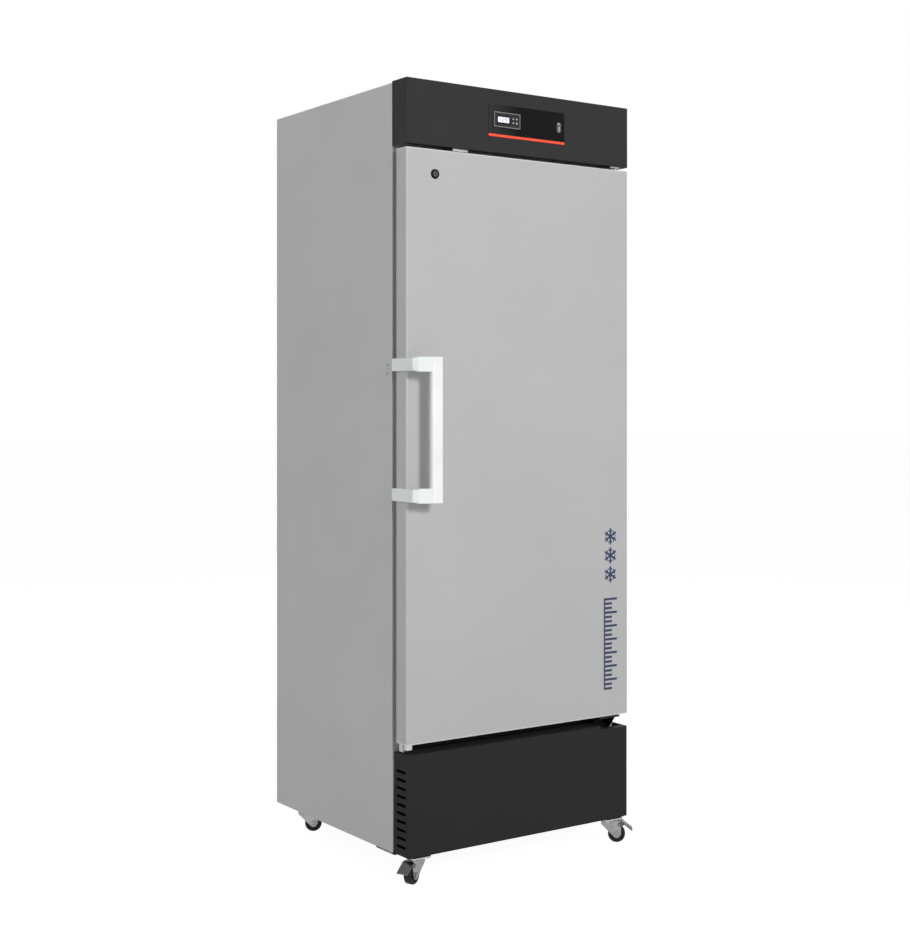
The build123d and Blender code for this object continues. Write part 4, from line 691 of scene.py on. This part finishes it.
def screw_recess_shade(name, places, out, body, size):
    """Painted shade of the screw heads' cross recesses, drawn as thin black crosses."""
    across = up.cross(out)
    line = size * 0.22
    reach = size * 0.39
    shift = (line + reach) / 2
    outlines = []
    for place in places:
        u = place.dot(across)
        v = place.dot(up)
        outlines.append(rectangle(u, v, size, line))
        outlines.append(rectangle(u, v + shift, line, reach))
        outlines.append(rectangle(u, v - shift, line, reach))
    origin = out * max(place.dot(out) for place in places)
    return raised_shape(name, outlines, 0.05 * mm, black_mask_and_recess_shade, body, origin, across, up)


rear_low, rear_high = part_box("panel_screws")
head_radius = 4.6 * mm
screw_x = rear_high[0] - head_radius
rows = [base_z + 60.0 * mm, base_z + 204.0 * mm]
panel_rows = 6
first = base_z + 269.0 * mm
last = rear_high[2] - head_radius
rows += [first + step * (last - first) / (panel_rows - 1) for step in range(panel_rows)]
# Painted shade: black crosses in place of the shade in the rear screws' recesses.
screw_recess_shade(
    "rear_screw_recess_shade",
    [Vector((side * screw_x, rear_high[1], row)) for side in (-1, 1) for row in rows],
    Vector((0, 1, 0)), "cabinet", head_radius,
)


# Round wires in place of the shelves' plain rods

def tube_mesh(name, runs, material, body, replaced, sides=12):
    """Straight round rods as one mesh, each from its two ends and its radius."""
    mesh = bpy.data.meshes.new(name)
    work = bmesh.new()
    for a, b, thick in runs:
        along = Vector(b) - Vector(a)
        turn = along.to_track_quat("Z", "Y").to_matrix().to_4x4()
        place = Matrix.Translation((Vector(a) + Vector(b)) / 2) @ turn
        bmesh.ops.create_cone(
            work, cap_ends=True, segments=sides, radius1=thick, radius2=thick,
            depth=along.length, matrix=place,
        )
    work.to_mesh(mesh)
    work.free()
    obj = add_object(name, mesh, material, body)
    smooth_by_angle(obj, 50.0)
    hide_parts(*replaced)
    return obj


wire_count = 21
rod = 3.0 * mm
wire = 1.5 * mm
for number in range(1, 5):
    low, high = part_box(f"shelf_{number}")
    z_rod = low[2] + rod
    z_wire = low[2] + 2 * rod + wire - 0.5 * mm
    runs = []
    for y in (low[1] + rod, (low[1] + high[1]) / 2 + rod, high[1] - rod):
        runs.append(((low[0] + 0.5 * rod, y, z_rod), (high[0] - 0.5 * rod, y, z_rod), rod))
    for x in (low[0] + rod, high[0] - rod):
        runs.append(((x, low[1] + 0.5 * rod, z_rod), (x, high[1] - 0.5 * rod, z_rod), rod))
    span = high[0] - low[0] - 8 * rod
    for place in range(wire_count):
        x = low[0] + 4 * rod + place * span / (wire_count - 1)
        runs.append(((x, low[1] + 0.2 * mm, z_wire), (x, high[1] - 0.2 * mm, z_wire), wire))
    tube_mesh(f"wire_shelf_{number}", runs, shelf_coat, "cabinet", [f"shelf_{number}"])


# Floor

floor_size = 80.0
floor_share = 0.85
floor_glow = 1.13
mesh = bpy.data.meshes.new("floor")
work = bmesh.new()
bmesh.ops.create_grid(work, x_segments=1, y_segments=1, size=floor_size / 2)
work.to_mesh(mesh)
work.free()
floor = bpy.data.objects.new("floor", mesh)
scene.collection.objects.link(floor)


def seen_directly(tree):
    """1 for a ray that the camera, a gloss or a clear material sends, and 0 for the light that falls."""
    path = tree.nodes.new("ShaderNodeLightPath")
    names = ("Is Camera Ray", "Is Glossy Ray", "Is Transmission Ray")
    found = path.outputs[names[0]]
    for name in names[1:]:
        either = tree.nodes.new("ShaderNodeMath")
        either.operation = "MAXIMUM"
        tree.links.new(found, either.inputs[0])
        tree.links.new(path.outputs[name], either.inputs[1])
        found = either.outputs[0]
    return found


def pale_floor(share, glow_strength):
    """A pale floor that shows as plain white, apart from a light shadow."""
    made = Nodes("pale_floor")
    made.set(Base_Color=(0.80, 0.80, 0.80, 1.0), Roughness=0.9, Specular_IOR_Level=0.0)
    glow = made.add("ShaderNodeEmission", {"Color": (1.0, 1.0, 1.0, 1.0), "Strength": glow_strength})
    part = made.add("ShaderNodeMath", {0: seen_directly(made.tree), 1: share}, operation="MULTIPLY")
    mix = made.add("ShaderNodeMixShader", {0: part.outputs[0]})
    made.tree.links.new(made.shader.outputs[0], mix.inputs[1])
    made.tree.links.new(glow.outputs[0], mix.inputs[2])
    made.tree.links.new(mix.outputs[0], made.tree.nodes["Material Output"].inputs["Surface"])
    return made.material


mesh.materials.append(pale_floor(floor_share, floor_glow))
floor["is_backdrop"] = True


# World and lights

world_strength = 0.21
world = bpy.data.worlds.new("world")
scene.world = world
world.use_nodes = True
tree = world.node_tree
background = tree.nodes["Background"]
background.inputs["Color"].default_value = (1.0, 1.0, 1.0, 1.0)
background.inputs["Strength"].default_value = world_strength
bright = tree.nodes.new("ShaderNodeBackground")
bright.inputs["Color"].default_value = (1.0, 1.0, 1.0, 1.0)
bright.inputs["Strength"].default_value = 1.0
mixed = tree.nodes.new("ShaderNodeMixShader")
tree.links.new(seen_directly(tree), mixed.inputs[0])
tree.links.new(background.outputs[0], mixed.inputs[1])
tree.links.new(bright.outputs[0], mixed.inputs[2])
tree.links.new(mixed.outputs[0], tree.nodes["World Output"].inputs[0])


def area_light(name, place, target, size, power):
    """A soft lamp at a place, turned to its target."""
    data = bpy.data.lights.new(name, "AREA")
    data.shape = "RECTANGLE"
    data.size, data.size_y = size
    data.energy = power
    lamp = bpy.data.objects.new(name, data)
    lamp.location = place
    way = Vector(target) - Vector(place)
    lamp.rotation_euler = way.to_track_quat("-Z", "Y").to_euler()
    scene.collection.objects.link(lamp)


middle = (0.0, 0.0, 0.95)
area_light("key", (-0.5, -4.9, 2.6), middle, (1.0, 1.0), 136.0)
area_light("fill", (-4.6, -0.6, 2.7), middle, (2.6, 2.6), 66.0)
area_light("right", (3.0, -3.0, 3.4), (0.3, -0.3, 1.6), (2.0, 2.0), 17.0)
area_light("back", (2.6, 3.8, 3.0), middle, (2.4, 2.4), 66.0)


# Camera, solved from the photograph's edges

eye_height = 1.0086
data = bpy.data.cameras.new("camera")
data.lens = 59.0
data.sensor_width = 36.0
data.shift_y = -0.068
camera = bpy.data.objects.new("camera", data)
camera.location = (-2.194, -3.149, base_z + eye_height)
view_way = Vector((0.571, 0.821, 0.0))
camera.rotation_euler = view_way.to_track_quat("-Z", "Y").to_euler()
scene.collection.objects.link(camera)
scene.camera = camera
scene.view_settings.view_transform = "Standard"

low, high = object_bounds()
